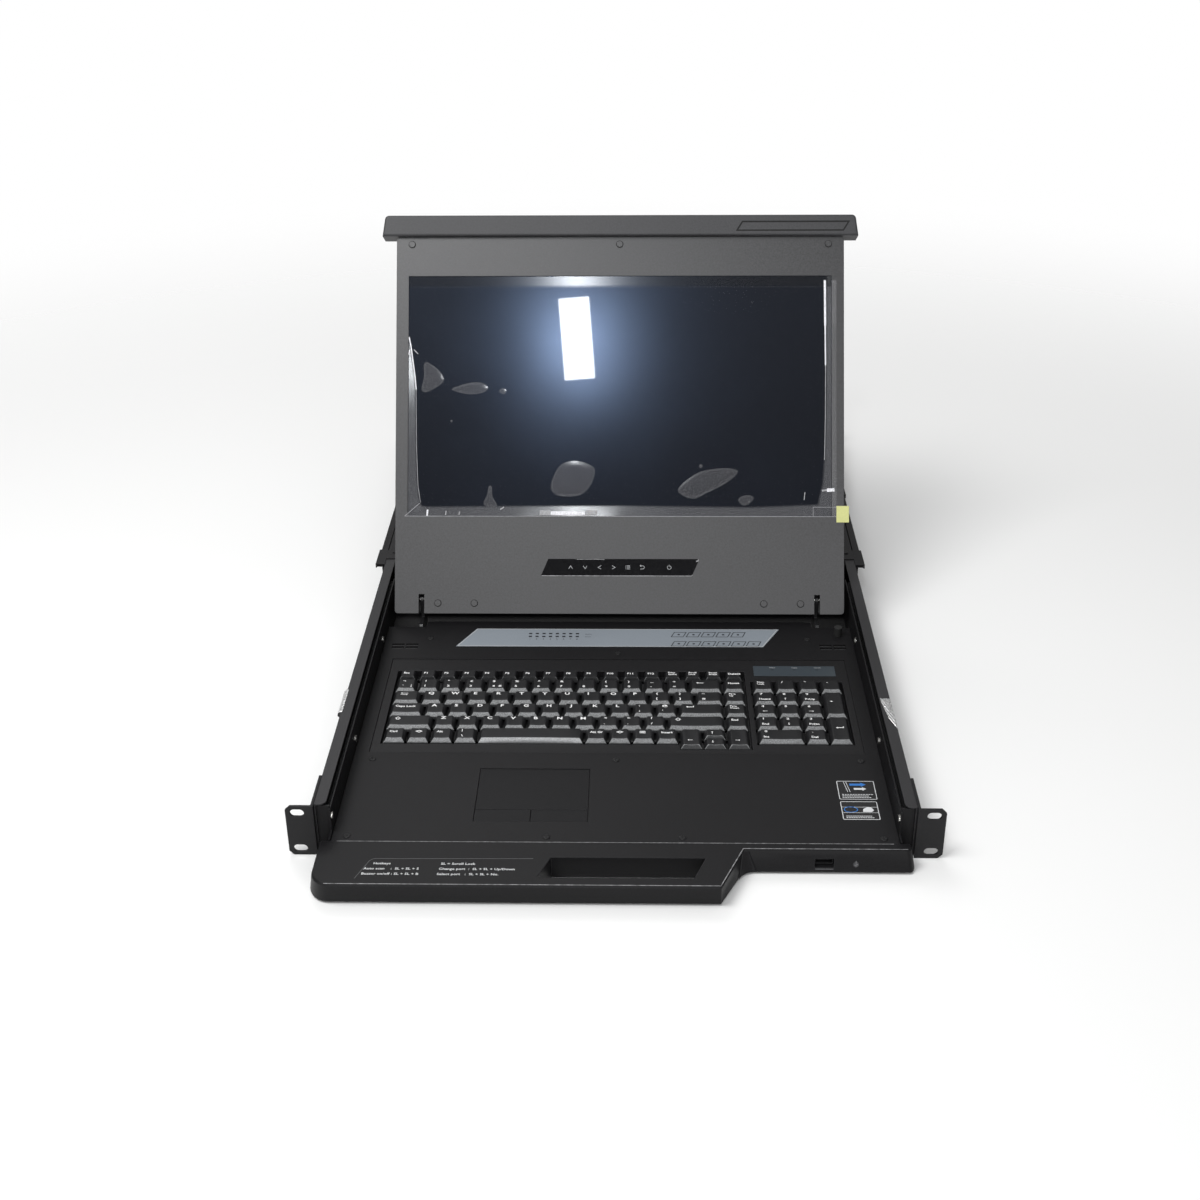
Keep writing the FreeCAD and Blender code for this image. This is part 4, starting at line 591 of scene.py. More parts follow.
def key_marks(legend, top):
    """The white legend of one key: its lines, parted by bars, run from the upper left of
    its top; a third line stands at the lower right. A star before the legend sets it
    low on a tall key."""
    left, front, right, rear = top
    low_set = legend.startswith("*") and len(legend) > 1
    lines = legend[low_set:].split("|")
    if low_set or rear - front > TALL:
        rear = front + (LOW_BAND if low_set else (rear - front) / 2 + MIDDLE_BAND)
    words = len(lines) == 2 and min(map(len, lines)) > 1 and not set(lines) & set(DRAWN)
    marks = []
    for number, text in enumerate(lines):
        if text in DRAWN:
            mark = DRAWN[text]()
            wide, tall = np.ptp(mark[0], axis=0)
            across = left + LETTER_IN + 0.0006 + wide / 2
            first = rear - (MARK_DOWN if len(lines) == 1 else FIRST_MARK_DOWN)
            middle = front + MARK_UP if number else first
            marks.append(shifted(mark, across, middle))
        elif text:
            alone = len(legend) == 1 and legend.isalpha()
            size = LETTER if alone else SIGN if len(text) == 1 else SMALL if words else WORD
            glyphs = written(text, size, 0.034, 1.22 if len(text) == 1 else 1.04)
            long = np.ptp(glyphs[0][:, 0])
            across = right - THIRD_RIGHT - long
            if number < 2:
                inset = WORD_IN if len(text) > 1 else LETTER_IN
                across = max(left + LEAST_LEFT, min(left + inset, right - LEAST_RIGHT - long))
            if words:
                base = rear - PAIR_DOWN - CAP_SHARE * size - number * SPACING * size
            elif number:
                base = front + LINE_UP
            else:
                base = rear - (SIGN_DOWN if len(text) == 1 else WORD_DOWN) - CAP_SHARE * size
            marks.append(shifted(glyphs, across - glyphs[0][:, 0].min(), base))
    return marks


def on_cap(marks, top, dish, lift=0.00004):
    """Lays marks on the sunk top of their cap, a hair above it."""
    if not marks:
        return None
    points, faces = gather(marks)
    middle, reach = (top[0] + top[2]) / 2, (top[2] - top[0]) / 2
    sink = dish * (1 - np.clip(np.abs(points[:, 0] - middle) / reach, 0, 1) ** 2)
    return np.column_stack([points, KEY_HIGH - sink + lift]), faces


def cap_plastic(name, dark, light):
    """Black moulded caps whose front slopes, known by the y of the object-space normal,
    are painted pale with a coarse grain between two tones, a painted sheen; steeper faces stay black."""
    material = coated(name, (0.0095, 0.0095, 0.0105), 0.45, contrast=0.25, speckle=1500.0, peel=2600.0,
                      bump=0.35, edge_highlight_amount=0.5, radius=0.00025, highlight_tone=(0.06, 0.06, 0.062), gloss=0.28)
    tree = material.node_tree
    facing = node(tree, "TexCoord")
    parts = node(tree, "SeparateXYZ")
    lean = span(tree, -0.40, -0.52, 0.0, 1.0)
    steep = span(tree, -0.68, -0.75, 1.0, 0.12)
    slope = node(tree, "Math", operation="MULTIPLY")
    sheen_flecks = node(tree, "TexNoise", {"Scale": 1300.0, "Detail": 2.0})
    slope_sheen_tone = node(tree, "ValToRGB")
    for stop, place, tone in zip(slope_sheen_tone.color_ramp.elements, (0.32, 0.68), (dark, light)):
        stop.position, stop.color = place, (tone * 0.98, tone, tone * 1.02, 1)
    paint = node(tree, "Mix", data_type="RGBA")
    shader = tree.nodes["Principled BSDF"]
    edge_lit = shader.inputs["Base Color"].links[0].from_node
    wire(tree, (facing, "Normal", parts, 0), (parts, "Y", lean, "Value"), (parts, "Y", steep, "Value"),
         (lean, 0, slope, 0), (steep, 0, slope, 1), (facing, "Object", sheen_flecks, "Vector"),
         (sheen_flecks, "Fac", slope_sheen_tone, "Fac"), (slope, 0, paint, "Factor"), (edge_lit, "Tone", paint, "A"),
         (slope_sheen_tone, "Color", paint, "B"), (paint, "Result", shader, "Base Color"))
    return material


# the caps' front slopes are painted pale between these two tones, a painted sheen
key_plastic = cap_plastic("keycap_slope_sheen", 0.10, 0.28)
bar_cap_plastic = cap_plastic("space_bar_slope_sheen", 0.22, 0.46)
legend_white = ink("legend_white", (0.78, 0.78, 0.78), 0.5, contrast=0.03)

# each row: widths in pitches and legends
ROWS = {"number_keys": ([1] * 13 + [1.5, 1],
                        "¬|`|¦ !|1 \"|2 £|3 $|4|€ %|5 ^|6 &|7 *|8 (|9 )|0 _|- +|= back Home".split()),
        "upper_letter_keys": ([1.25] + [1] * 12 + [1.25, 1],
                              "tab Q W E R T Y U I O P {|[ }|] ~|# Page|Up".split()),
        "home_letter_keys": ([1.5] + [1] * 11 + [2, 1],
                             "Caps_Lock A S D F G H J K L :|; @|' ent Page|Down".split()),
        "lower_letter_keys": ([2] + [1] * 10 + [2.5, 1], "shift Z X C V B N M <|, >|. ?|/ shift End".split())}


def key_group(body, keys, dish=0.0004, side=KEY_SIDE, slope=KEY_SLOPE, plastic=key_plastic):
    """Caps and legends of a group given as (left, front, wide, deep, legend, and where
    a tall key's stem stands)."""
    made = [keycap(*key[:4], dish=dish, side=side, slope=slope, stem=(*key, None)[5]) for key in keys]
    piece = put(body + "_caps", *gather([m[:2] for m in made]), plastic, body, "key_plastic")
    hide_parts(body)
    marks = [on_cap(key_marks(key[4], m[2]), m[2], m[3]) for key, m in zip(keys, made) if key[4]]
    if marks:
        put(body + "_legends", *gather(marks), legend_white, body, "key_plastic")


for row_node, (widths, legends) in ROWS.items():
    low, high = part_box(row_node)
    starts = np.cumsum([0] + widths)
    key_group(row_node, [(low.x + start * KEY_PITCH, low.y, units * KEY_PITCH - KEY_GAP, high.y - low.y,
                          legend.replace("_", " ") if len(legend) > 3 else legend)
                         for start, units, legend in zip(starts, widths, legends)])

# the function keys are narrower and flatter, and all alike
F_NAMES = ["Esc"] + [f"F{n}" for n in range(1, 13)] + ["Print|SysRq", "Scroll|Lock", "Pause|Break", "Delete"]
F_SPACE, F_SIDE, F_SLOPE, F_DISH = 0.0032, 0.0019, 0.0006, 0.0002
low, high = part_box("function_keys")
F_PITCH = (high.x - low.x + F_SPACE) / len(F_NAMES)
key_group("function_keys", [(low.x + n * F_PITCH, low.y, F_PITCH - F_SPACE, high.y - low.y, name)
                            for n, name in enumerate(F_NAMES)], dish=F_DISH, side=F_SIDE, slope=F_SLOPE)
# the bottom row stops for the space bar, whose top is arched, between 4 and 8.5 pitches
low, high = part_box("bottom_keys")
bottom = [(n, name) for n, name in enumerate(("Ctrl", "dia", "Alt", "¦|\\"))]
bottom += [(8.5 + n, name) for n, name in enumerate(("Alt Gr", "dia", "menu", "Insert"))]
key_group("bottom_keys", [(low.x + n * KEY_PITCH, low.y, KEY_PITCH - KEY_GAP, high.y - low.y, name)
                          for n, name in bottom])
low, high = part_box("space_bar")
key_group("space_bar", [(low.x, low.y, high.x - low.x, high.y - low.y, "")], dish=-0.0003,
          plastic=bar_cap_plastic)
# two tall arrow keys stand beside two short ones, one before the other
low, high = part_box("arrow_keys")
ARROW_DEEP, ARROW_SLOPE = (high.y - low.y - KEY_GAP) / 2, 0.0032
ARROW_STEM = low.y + (ARROW_DEEP - KEY_GAP / 2) / 2
arrows = [(0, low.y, high.y - low.y, "*<-", ARROW_STEM), (1, low.y, ARROW_DEEP, "dn"),
          (1, low.y + ARROW_DEEP + KEY_GAP, ARROW_DEEP, "up"), (2, low.y, high.y - low.y, "*->", ARROW_STEM)]
key_group("arrow_keys", [(low.x + n * KEY_PITCH, front, KEY_PITCH - KEY_GAP, *more)
                         for n, front, *more in arrows], slope=ARROW_SLOPE)
# the number pad, as column, row, width and height in pitches, and legend
low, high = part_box("number_pad_keys")
pad = [(n, 4, 1, 1, name) for n, name in enumerate(("Num|Lock", "/", "*", "-"))]
pad += [(0, 3, 1, 1, "7|Home"), (1, 3, 1, 1, "8|up"), (2, 3, 1, 1, "9|PgUp"), (3, 2, 1, 2, "+"),
        (0, 2, 1, 1, "4|<-"), (1, 2, 1, 1, "5"), (2, 2, 1, 1, "6|->"), (0, 1, 1, 1, "1|End"),
        (1, 1, 1, 1, "2|dn"), (2, 1, 1, 1, "3|PgDn"), (3, 0, 1, 2, "ent"), (0, 0, 2, 1, "0|Ins"),
        (2, 0, 1, 1, ".|Del")]
key_group("number_pad_keys", [(low.x + column * KEY_PITCH, low.y + row * ROW_PITCH, wide * KEY_PITCH - KEY_GAP,
                               tall * ROW_PITCH - KEY_GAP, name, low.y + (row + 0.5) * ROW_PITCH - KEY_GAP / 2)
                              for column, row, wide, tall, name in pad])

# ---------------------------------------------------------------- indicator strip
# A grey window over the three lock lamps, each named above its dark slot.
dress(coated("strip_lens", (0.037, 0.048, 0.058), 0.3, contrast=0.02, speckle=3.0, edge_highlight_amount=0.1, bump=0.0),
      "indicator_strip")
LOCKS = ((0.23, "Num"), (0.50, "Caps"), (0.78, "Scroll"))
low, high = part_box("indicator_strip")
strip_words, strip_lamps = [], []
for share, word in LOCKS:
    across = low.x + share * (high.x - low.x)
    strip_words.append(shifted(written(word, 0.0024), across - 0.0022, high.y - 0.0034))
    strip_lamps.append(patch(across, high.y - 0.0062, 0.0013, 0.0005))


def flat_marks(name, marks, height, material, body, finish):
    """Printed marks laid flat at one height."""
    points, faces = gather(marks)
    return put(name, np.column_stack([points, np.full(len(points), height)]), faces, material, body, finish)


pale_ink = ink("pale_ink", (0.42, 0.43, 0.44), 0.5)
dark_ink = ink("dark_ink", (0.010, 0.011, 0.014), 0.4)
PRINT = 0.00005
flat_marks("strip_words", strip_words, high.z + PRINT, pale_ink, "drawer", "strip_lens")
flat_marks("strip_lamps", strip_lamps, high.z + PRINT, dark_ink, "drawer", "strip_lens")

# ---------------------------------------------------------------- touchpad
# A satin plate over two buttons, set flush in the deck in a moulded holder.
dress(coated("touch_surface", (0.0065, 0.0064, 0.0072), 0.42, contrast=0.1, edge_highlight_amount=0.6, radius=0.0004,
             highlight_tone=(0.10, 0.10, 0.105), gloss=0.14), "touchpad", "left_touch_button", "right_touch_button")

# ---------------------------------------------------------------- status panel
# A grey printed overlay: eight pairs of dark windows over channel numbers, a row
# of five and a row of six slanted press pads, all inside a paler printed rim.
dress(coated("status_overlay", (0.225, 0.252, 0.282), 0.45, contrast=0.04, edge_highlight_amount=0.2), "status_panel")
low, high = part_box("status_panel")
SLANT = 0.0161
RIM_WIDE, RIM_IN = 0.0007, ((0.0010, 0.0005), (-0.0002, 0.0005), (-0.0012, -0.0005), (0.0002, -0.0005))
rim_line = np.array([(low.x, low.y), (high.x - SLANT, low.y), (high.x, high.y), (low.x + SLANT, high.y)])
rim_line = rim_line * (0.997, 1) + RIM_IN
flat_marks("panel_rim", [ribbon(rim_line, RIM_WIDE, closed=True)], high.z + PRINT, pale_ink, "drawer",
           "overlay_grey")
CHANNELS, CHANNEL_PITCH, CHANNEL_LEFT, WINDOW_ROWS = 8, 0.0060, -0.0789, (0.2992, 0.2940)
windows, numbers = [], []
for channel in range(CHANNELS):
    across = CHANNEL_LEFT + channel * CHANNEL_PITCH
    windows += [patch(across, height, 0.0014, 0.0011) for height in WINDOW_ROWS]
    numbers.append(shifted(written(str(channel + 1), 0.0028), across - 0.0008, 0.2884))
for height, word in ((0.2975, "Online"), (0.2930, "Select")):
    numbers.append(shifted(written(word, 0.0021), -0.0300, height))
# each row of pads: its left end, its middle height and how many stand in it
PADS = ((0.0472, 0.2980, 5), (0.0469, 0.2817, 6))
PAD_PITCH, PAD_WIDE, PAD_TALL, PAD_LEAN = 0.01325, 0.0134, 0.0080, 0.0029
for left, middle, count in PADS:
    for step in range(count):
        corners = np.array([(0, 0), (PAD_WIDE - PAD_LEAN, 0), (PAD_WIDE, PAD_TALL), (PAD_LEAN, PAD_TALL)])
        corners += (left + step * PAD_PITCH, middle - PAD_TALL / 2)
        windows.append(ribbon(corners, 0.0007, closed=True))
        windows.append(patch(*corners.mean(0), 0.0010, 0.0010))
flat_marks("panel_windows", windows, high.z + PRINT, dark_ink, "drawer", "overlay_grey")
flat_marks("panel_numbers", numbers, high.z + PRINT, dark_ink, "drawer", "overlay_grey")

# ---------------------------------------------------------------- screws
# Black pan heads with a cross recess, turned from the node's own head places.


def screw_heads(name, centres, radius, height, material, body, cross=0.55):
    """Upright pan heads: over a polar grid the height is h (1 - 0.35 r^2) less a round
    off at the edge and the depth of a cross, which is deep where a point lies within a
    slot's half width of either axis."""
    share = np.array([0.0, 0.10, 0.17, 0.24, 0.38, 0.52, 0.60, 0.75, 0.88, 0.96, 1.0])
    angle = np.linspace(0, 2 * math.pi, 48, endpoint=False)
    r, turn = np.meshgrid(share, angle, indexing="ij")
    u, v = r * np.cos(turn), r * np.sin(turn)
    dome = height * (1 - 0.35 * r ** 2 - 0.35 * np.clip((r - 0.88) / 0.12, 0, 1) ** 2)
    slot = np.maximum(np.clip((0.13 - np.abs(u)) / 0.05, 0, 1), np.clip((0.13 - np.abs(v)) / 0.05, 0, 1))
    dome = dome - 0.75 * height * slot * np.clip((cross - r) / 0.12, 0, 1)
    skirt = np.zeros((1, len(angle)))
    u, v, dome = (np.concatenate([grid, edge]) for grid, edge in ((u, u[-1:]), (v, v[-1:]), (dome, skirt)))
    one = np.stack([radius * u, radius * v, dome], -1).reshape(-1, 3)
    faces = ring_faces(len(share) + 1, len(angle))[:, ::-1]
    parts = [(one + np.array(centre), faces.tolist()) for centre in centres]
    return put(name, *gather(parts), material, body, "screw_black", sharp=50.0)


screw_finish = coated("screw_black", (0.009, 0.009, 0.0095), 0.45, contrast=0.1, edge_highlight_amount=0.5, gloss=0.25)
DECK_TOP = 0.018
DECK_SCREWS = ((-192.6, 99.4), (192.6, 99.4), (0, 99.4), (-197.3, -1), (197.3, -1), (-50, -1), (50, -1),
               (-168, 290.4), (168, 290.4), (0, 264.9))
deck_heads = screw_heads("deck_screw_heads", [(x * MM, y * MM, DECK_TOP) for x, y in DECK_SCREWS],
                         radius=0.0028, height=0.0009, material=screw_finish, body="drawer")
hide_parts("deck_screws")
dress(screw_finish, "cover_screws")

# ---------------------------------------------------------------- guide labels
# Two plain printed labels on the deck: pale outlines with arrows and grey lines.
LABELS = ((170.0, 199.0, 48.0, 72.4), (170.0, 198.0, 22.3, 45.6))
blue_ink = ink("blue_ink", (0.02, 0.16, 0.50), 0.4)
white_ink = ink("white_ink", (0.62, 0.63, 0.64), 0.45)
label_film = ink("label_film", (0.012, 0.012, 0.013), 0.22)


def rounded_box(left, right, front, rear, radius, steps=5):
    """The outline of a rectangle with round corners, counter-clockwise."""
    turn = np.linspace(0, math.pi / 2, steps)
    corners = ((right - radius, rear - radius, 0), (left + radius, rear - radius, 1),
               (left + radius, front + radius, 2), (right - radius, front + radius, 3))
    return np.concatenate([arc_line(x, y, radius, turn=turn + q * math.pi / 2) for x, y, q in corners])


def block_arrow(left, middle, long, high):
    """A broad arrow pointing right: a bar and a head twice as tall."""
    head = 0.32 * long
    return solid([(left, middle - high / 2), (left + long - head, middle - high / 2),
                  (left + long - head, middle - high), (left + long, middle),
                  (left + long - head, middle + high), (left + long - head, middle + high / 2),
                  (left, middle + high / 2)])


# the lines of words: distance from the label's foot and share of its width
WORD_LINES = ((0.0066, 0.94), (0.0046, 0.80), (0.0026, 0.86))
HAND = np.array([(16.0, 10.0), (22.5, 9.8), (24.5, 12.0), (22.5, 16.0), (19.5, 15.8), (16.5, 13.5)]) * MM
label_faces, label_white, label_blue = [], [], []
for number, (left, right_side, front, rear) in enumerate(np.array(LABELS) * MM):
    label_faces.append(solid(rounded_box(left, right_side, front, rear, 0.0012)))
    frame_line = rounded_box(left + 0.0004, right_side - 0.0004, front + 0.0004, rear - 0.0004, 0.0010)
    label_white.append(ribbon(frame_line, 0.00055, closed=True))
    if number == 0:
        for lean in (0.0, 0.0018):
            slant = [(left + 0.0055 + lean, rear - 0.0012), (left + 0.0075 + lean, front + 0.0098)]
            label_white.append(ribbon(slant, 0.0004))
        label_white.append(block_arrow(left + 0.0125, rear - 0.0105, 0.0095, 0.0024))
        label_blue.append(block_arrow(left + 0.0098, rear - 0.0050, 0.0125, 0.0026))
    else:
        for height in (0.0160, 0.0090):
            level = [(left + 0.0008, front + height), (right_side - 0.0008, front + height)]
            label_white.append(ribbon(level, 0.00035))
        loop = np.linspace(0, 2 * math.pi, 28, endpoint=False)
        eye = arc_line(left + 0.0072, front + 0.0128, 0.0050, 0.0034, loop)
        label_blue.append(ribbon(eye, 0.0006, closed=True))
        label_white.append(solid(HAND + (left, front)))
    # the second label has one line of words fewer
    for step, share in WORD_LINES[number:]:
        dashes = np.linspace(left + 0.0028, left + 0.0028 + share * (right_side - left - 0.0056), 12)
        label_white += [ribbon([(x, front + step), (x + 0.0014, front + step)], 0.00075) for x in dashes]
flat_marks("label_faces", label_faces, DECK_TOP + PRINT, label_film, "drawer", "deck_paint")
flat_marks("label_outlines", label_white, DECK_TOP + 2 * PRINT, white_ink, "drawer", "deck_paint")
flat_marks("label_blue", label_blue, DECK_TOP + 3 * PRINT, blue_ink, "drawer", "deck_paint")

# ---------------------------------------------------------------- display lid
# A steel shell in a grey speckled coat, hinged at the rear of the drawer and shown
# leaning back; a moulded bar along its top edge has an inset strip.
LEAN = math.radians(30)
HINGE_Y, HINGE_Z, LID_ROOT, FACE_STEP = 0.3325, 0.035, 0.013, 0.008
LID_UP = np.array([0, math.sin(LEAN), math.cos(LEAN)])
LID_OUT = np.array([0, -math.cos(LEAN), math.sin(LEAN)])


def on_lid(points):
    """Lid coordinates (across, up the lid, out of its face) to the frame's own."""
    points = np.asarray(points, float)
    up, out = points[..., 1] - LID_ROOT, points[..., 2] + FACE_STEP
    return np.stack([points[..., 0], HINGE_Y + up * LID_UP[1] + out * LID_OUT[1],
                     HINGE_Z + up * LID_UP[2] + out * LID_OUT[2]], -1)


lid_paint = coated("lid_powder_coat", (0.0140, 0.0136, 0.0156), 0.42, contrast=0.9, speckle=680.0, bump=0.6,
                   edge_highlight_amount=0.3, gloss=0.84)
dress(lid_paint, "lid_front", "lid_back")
bar_plastic = coated("bar_moulding", (0.036, 0.036, 0.039), 0.5, contrast=0.3, speckle=800.0, bump=0.4,
                     edge_highlight_amount=0.35, radius=0.0008)
dress(bar_plastic, "top_bar", "bar_insert")


def lid_marks(name, marks, out, material, finish):
    """Printed marks laid on the lid at one distance out of its face."""
    points, faces = gather(marks)
    return put(name, on_lid(np.column_stack([points, np.full(len(points), out)])), faces, material, "lid",
               finish)


# the screws sit under flat caps: each a low disc inside a clearance ring of painted shade
TOP_SPOTS = ((-189.4, 336.7), (0, 336.7), (189.4, 336.7))
LOW_SPOTS = ((-164.2, 9.4), (-131.1, 9.4), (131.1, 9.4), (164.2, 9.4))
dress(lid_paint, "lid_screws")
gap_shade = ink("gap_shadow", (0.006, 0.006, 0.006), 0.8, contrast=0.0)
rings = [ribbon(arc_line(x * MM, s * MM, 0.00305), 0.00055, closed=True) for x, s in TOP_SPOTS + LOW_SPOTS]
lid_marks("cap_gap_shades", rings, 0.00006, gap_shade, "lid_paint")
cap_grey = coated("cap_grey", (0.16, 0.16, 0.165), 0.45, contrast=0.1, edge_highlight_amount=0.0, bump=0.1)
lid_marks("cap_tops", [solid(arc_line(x * MM, s * MM, 0.0026)) for x, s in TOP_SPOTS], 0.00066, cap_grey,
          "lid_paint")

# the strip inset in the bar stands in a groove, drawn as painted shade
INSET = np.array([(106.2, 348), (202.4, 348), (207.4, 356), (111.2, 356)]) * MM
lid_marks("inset_groove", [ribbon(INSET, 0.0013, closed=True)], 0.00506, gap_shade, "bar_plastic")

# ---------------------------------------------------------------- menu panel
# Gloss black touch keys under a thin overlay, marked by pale strokes.
dress(coated("menu_gloss", (0.0040, 0.0040, 0.0050), 0.12, contrast=0.1, edge_highlight_amount=0.0, bump=0.03, gloss=0.22),
      "menu_panel")
MENU_MID, STROKE = 0.0422, 0.00042
# up, down, left and right
CHEVRONS = ((-44.5, [(-1.5, -1.2), (0, 1.2), (1.5, -1.2)]), (-31.1, [(-1.5, 1.2), (0, -1.2), (1.5, 1.2)]),
            (-17.7, [(1.3, 1.4), (-1.3, 0), (1.3, -1.4)]), (-4.8, [(-1.3, 1.4), (1.3, 0), (-1.3, -1.4)]))
icons = [shifted(ribbon(np.array(points) * MM * 1.15, STROKE), x * MM * 0.983, MENU_MID)
         for x, points in CHEVRONS]
# a list of four lines with their dots
icons += [shifted(ribbon(np.array([(start, row), (end, row)]) * MM, 0.0004), 0.0081, MENU_MID)
          for row in (-1.5, -0.5, 0.5, 1.5) for start, end in ((-2.0, -1.5), (-0.9, 2.0))]
# a bent arrow back, and the power sign: an open ring and a stroke
bend, ring = np.linspace(-math.pi / 2, math.pi / 2, 12), np.linspace(math.radians(120), math.radians(420), 24)
back_line = np.concatenate([[(-1.6, -1.4)], arc_line(0.5, 0, 1.4, turn=bend), [(-1.8, 1.4)]])
for x, line in ((0.0211, back_line), (0.0211, [(-0.9, 2.2), (-1.9, 1.4), (-0.9, 0.6)]),
                (0.0456, arc_line(0, 0, 1.7, turn=ring)), (0.0456, [(0, 0.6), (0, 2.4)])):
    icons.append(shifted(ribbon(np.array(line) * MM, STROKE), x, MENU_MID))
lid_marks("menu_icons", icons, 0.00055, pale_ink, "overlay_black")
# the overlay's loose edges get pale lines, a painted highlight
EDGES = (([(-70.0, 34.45), (65.6, 34.45), (66.8, 35.4)], 0.0006),
         ([(-38.0, 49.3), (-20.0, 49.5), (-13.0, 49.2)], 0.0004),
         ([(69.9, 47.6), (71.8, 48.4), (72.0, 49.6)], 0.0011))
overlay_highlight_ink = ink("overlay_highlight", (0.30, 0.30, 0.31), 0.3, contrast=0.5, speckle=200.0)
lid_marks("menu_overlay_highlights", [ribbon(np.array(line) * MM, wide) for line, wide in EDGES], 0.00056, overlay_highlight_ink,
          "overlay_black")

# ---------------------------------------------------------------- display and its film
# A gloss black panel still under its shipping film. The film is stuck down in the
# middle, stands off the panel along three sides, and has trapped some blisters of air.
GLASS = {"Base Color": (0.0040, 0.0037, 0.0042, 1), "Specular IOR Level": 0.33, "Coat Weight": 1.0,
         "Coat Roughness": 0.015, "Coat IOR": 1.22, "Specular Tint": (0.47, 0.64, 1.0, 1)}
display_gloss, tree, shader = new_material("display_gloss", GLASS)
place = node(tree, "TexCoord")
haze = node(tree, "TexNoise", {"Scale": 14.0, "Detail": 3.0})
haze_rough = span(tree, 0.3, 0.7, 0.160, 0.180)
wire(tree, (place, "Object", haze, "Vector"), (haze, "Fac", haze_rough, "Value"),
     (haze_rough, 0, shader, "Roughness"))
dress(display_gloss, "display_panel")

WINDOW = (-192.3, 192.3, 88.5, 307.7)
BLISTERS = (((-178.3, 225.5), (-176.5, 229.3), (-171.9, 227.2), (-165.3, 222.3), (-160.8, 216.5),
             (-160.2, 211.8), (-164.5, 207.6), (-171.9, 203.3), (-176.9, 201.6), (-180.3, 204.2), (-179.2, 210),
             (-178, 218)), ((-153, 204.5), (-145, 207.8), (-134, 210.5), (-125, 210), (-119.5, 205.5),
                            (-124, 201.5), (-135, 199.7), (-146, 201.5)),
            ((-109.5, 202.5), (-106.5, 205.3), (-102.8, 203.3), (-105, 199.7)),
            ((-62, 114), (-59, 126), (-52, 136), (-40, 139), (-27, 135.5), (-22, 130), (-26, 117), (-36, 107.8),
             (-54, 107.3)), ((54, 110.5), (57, 118), (72, 128.5), (88, 132), (102, 132), (107.5, 128.5),
                             (97, 119), (80, 110.2), (67, 104.7)),
            ((107.8, 103.5), (111.5, 107), (118.5, 107.7), (122, 105), (118, 100.4), (112.5, 98.6)),
            ((-123, 99), (-120, 108), (-118.5, 116), (-115.8, 115), (-115, 106), (-111, 98)))
DOTS = ((-152.7, 175.2, 1.3), (-122.5, 146.5, 0.9), (-122.7, 137.6, 0.8), (74.1, 134.3, 1.8),
        (120.1, 283.7, 0.9), (-175, 257.5, 0.6), (137.3, 300.1, 0.8), (-91.8, 236.8, 0.6), (-101.3, 248.3, 0.6),
        (79, 106, 0.9), (-100.5, 197.5, 0.6), (128, 206, 0.7))
# the film's free edge on each side: how far it is from the window's edge, along the side
LEFT_FREE = ((88, 17), (98, 13.2), (105, 10.8), (120, 9.3), (150, 8.0), (204, 7.3), (214, 6.4), (226, 4.8),
             (243, 2.4), (252, 0.4), (310, 0.0))
RIGHT_FREE = ((88, 15), (103, 12.2), (118, 8.6), (150, 6.4), (196, 5.6), (308, 5.2))
LOW_FREE = ((-192, 12.0), (-175, 9.2), (-60, 10.2), (0, 10.4), (120, 9.0), (180, 11.5), (192, 14.0))
LIFT, BLISTER_LIFT, FILM_ON = 0.0009, 0.0003, -0.00098
# above TOP_FREE the film leans off the panel, so that it mirrors the tube once more
TOP_FREE, TOP_SLOPE = 297.5, 0.031


def smooth_loop(outline, per_side=6):
    """A closed Catmull-Rom curve through the outline's points."""
    p1 = np.asarray(outline, float)
    p0, p2, p3 = np.roll(p1, 1, 0), np.roll(p1, -1, 0), np.roll(p1, -2, 0)
    t = np.linspace(0, 1, per_side, endpoint=False)[None, :, None]
    p0, p1, p2, p3 = (p[:, None, :] for p in (p0, p1, p2, p3))
    curve = 0.5 * (2 * p1 + (p2 - p0) * t + (2 * p0 - 5 * p1 + 4 * p2 - p3) * t ** 2
                   + (3 * p1 - p0 - 3 * p2 + p3) * t ** 3)
    return curve.reshape(-1, 2)


def depth_inside(loop, x, y):
    """How far each point lies inside a closed line; negative outside. The distance is to
    the nearest side, and the sign comes from how often a ray crosses the line."""
    nearest = np.full(x.shape, 1e9)
    inside = np.zeros(x.shape, bool)
    for (ax, ay), (bx, by) in zip(loop, np.roll(loop, -1, 0)):
        along = np.clip(((x - ax) * (bx - ax) + (y - ay) * (by - ay)) / ((bx - ax) ** 2 + (by - ay) ** 2), 0, 1)
        nearest = np.minimum(nearest, np.hypot(x - ax - along * (bx - ax), y - ay - along * (by - ay)))
        crosses = (ay > y) != (by > y)
        with np.errstate(divide="ignore", invalid="ignore"):
            inside ^= crosses & (x < (bx - ax) * (y - ay) / (by - ay) + ax)
    return np.where(inside, nearest, -nearest)


# the film's grid, and how far its loose edge and a blister's rim take to rise, in mm
FILM_IN, FILM_ACROSS, FILM_UP, EDGE_RISE, RIM_RISE = 0.3, 257, 147, 10.2, 5.0
film_x, film_s = np.meshgrid(np.linspace(WINDOW[0] + FILM_IN, WINDOW[1] - FILM_IN, FILM_ACROSS),
                             np.linspace(WINDOW[2] + FILM_IN, WINDOW[3] - FILM_IN, FILM_UP))
free = np.maximum.reduce([np.interp(film_s, *np.array(LEFT_FREE).T) - (film_x - WINDOW[0]),
                          np.interp(film_s, *np.array(RIGHT_FREE).T) - (WINDOW[1] - film_x),
                          np.interp(film_x, *np.array(LOW_FREE).T) - (film_s - WINDOW[2])])
trapped = np.maximum.reduce([depth_inside(smooth_loop(outline), film_x, film_s) for outline in BLISTERS]
                            + [radius - np.hypot(film_x - x, film_s - s) for x, s, radius in DOTS])
rise = np.clip(free / EDGE_RISE, 0, 1)
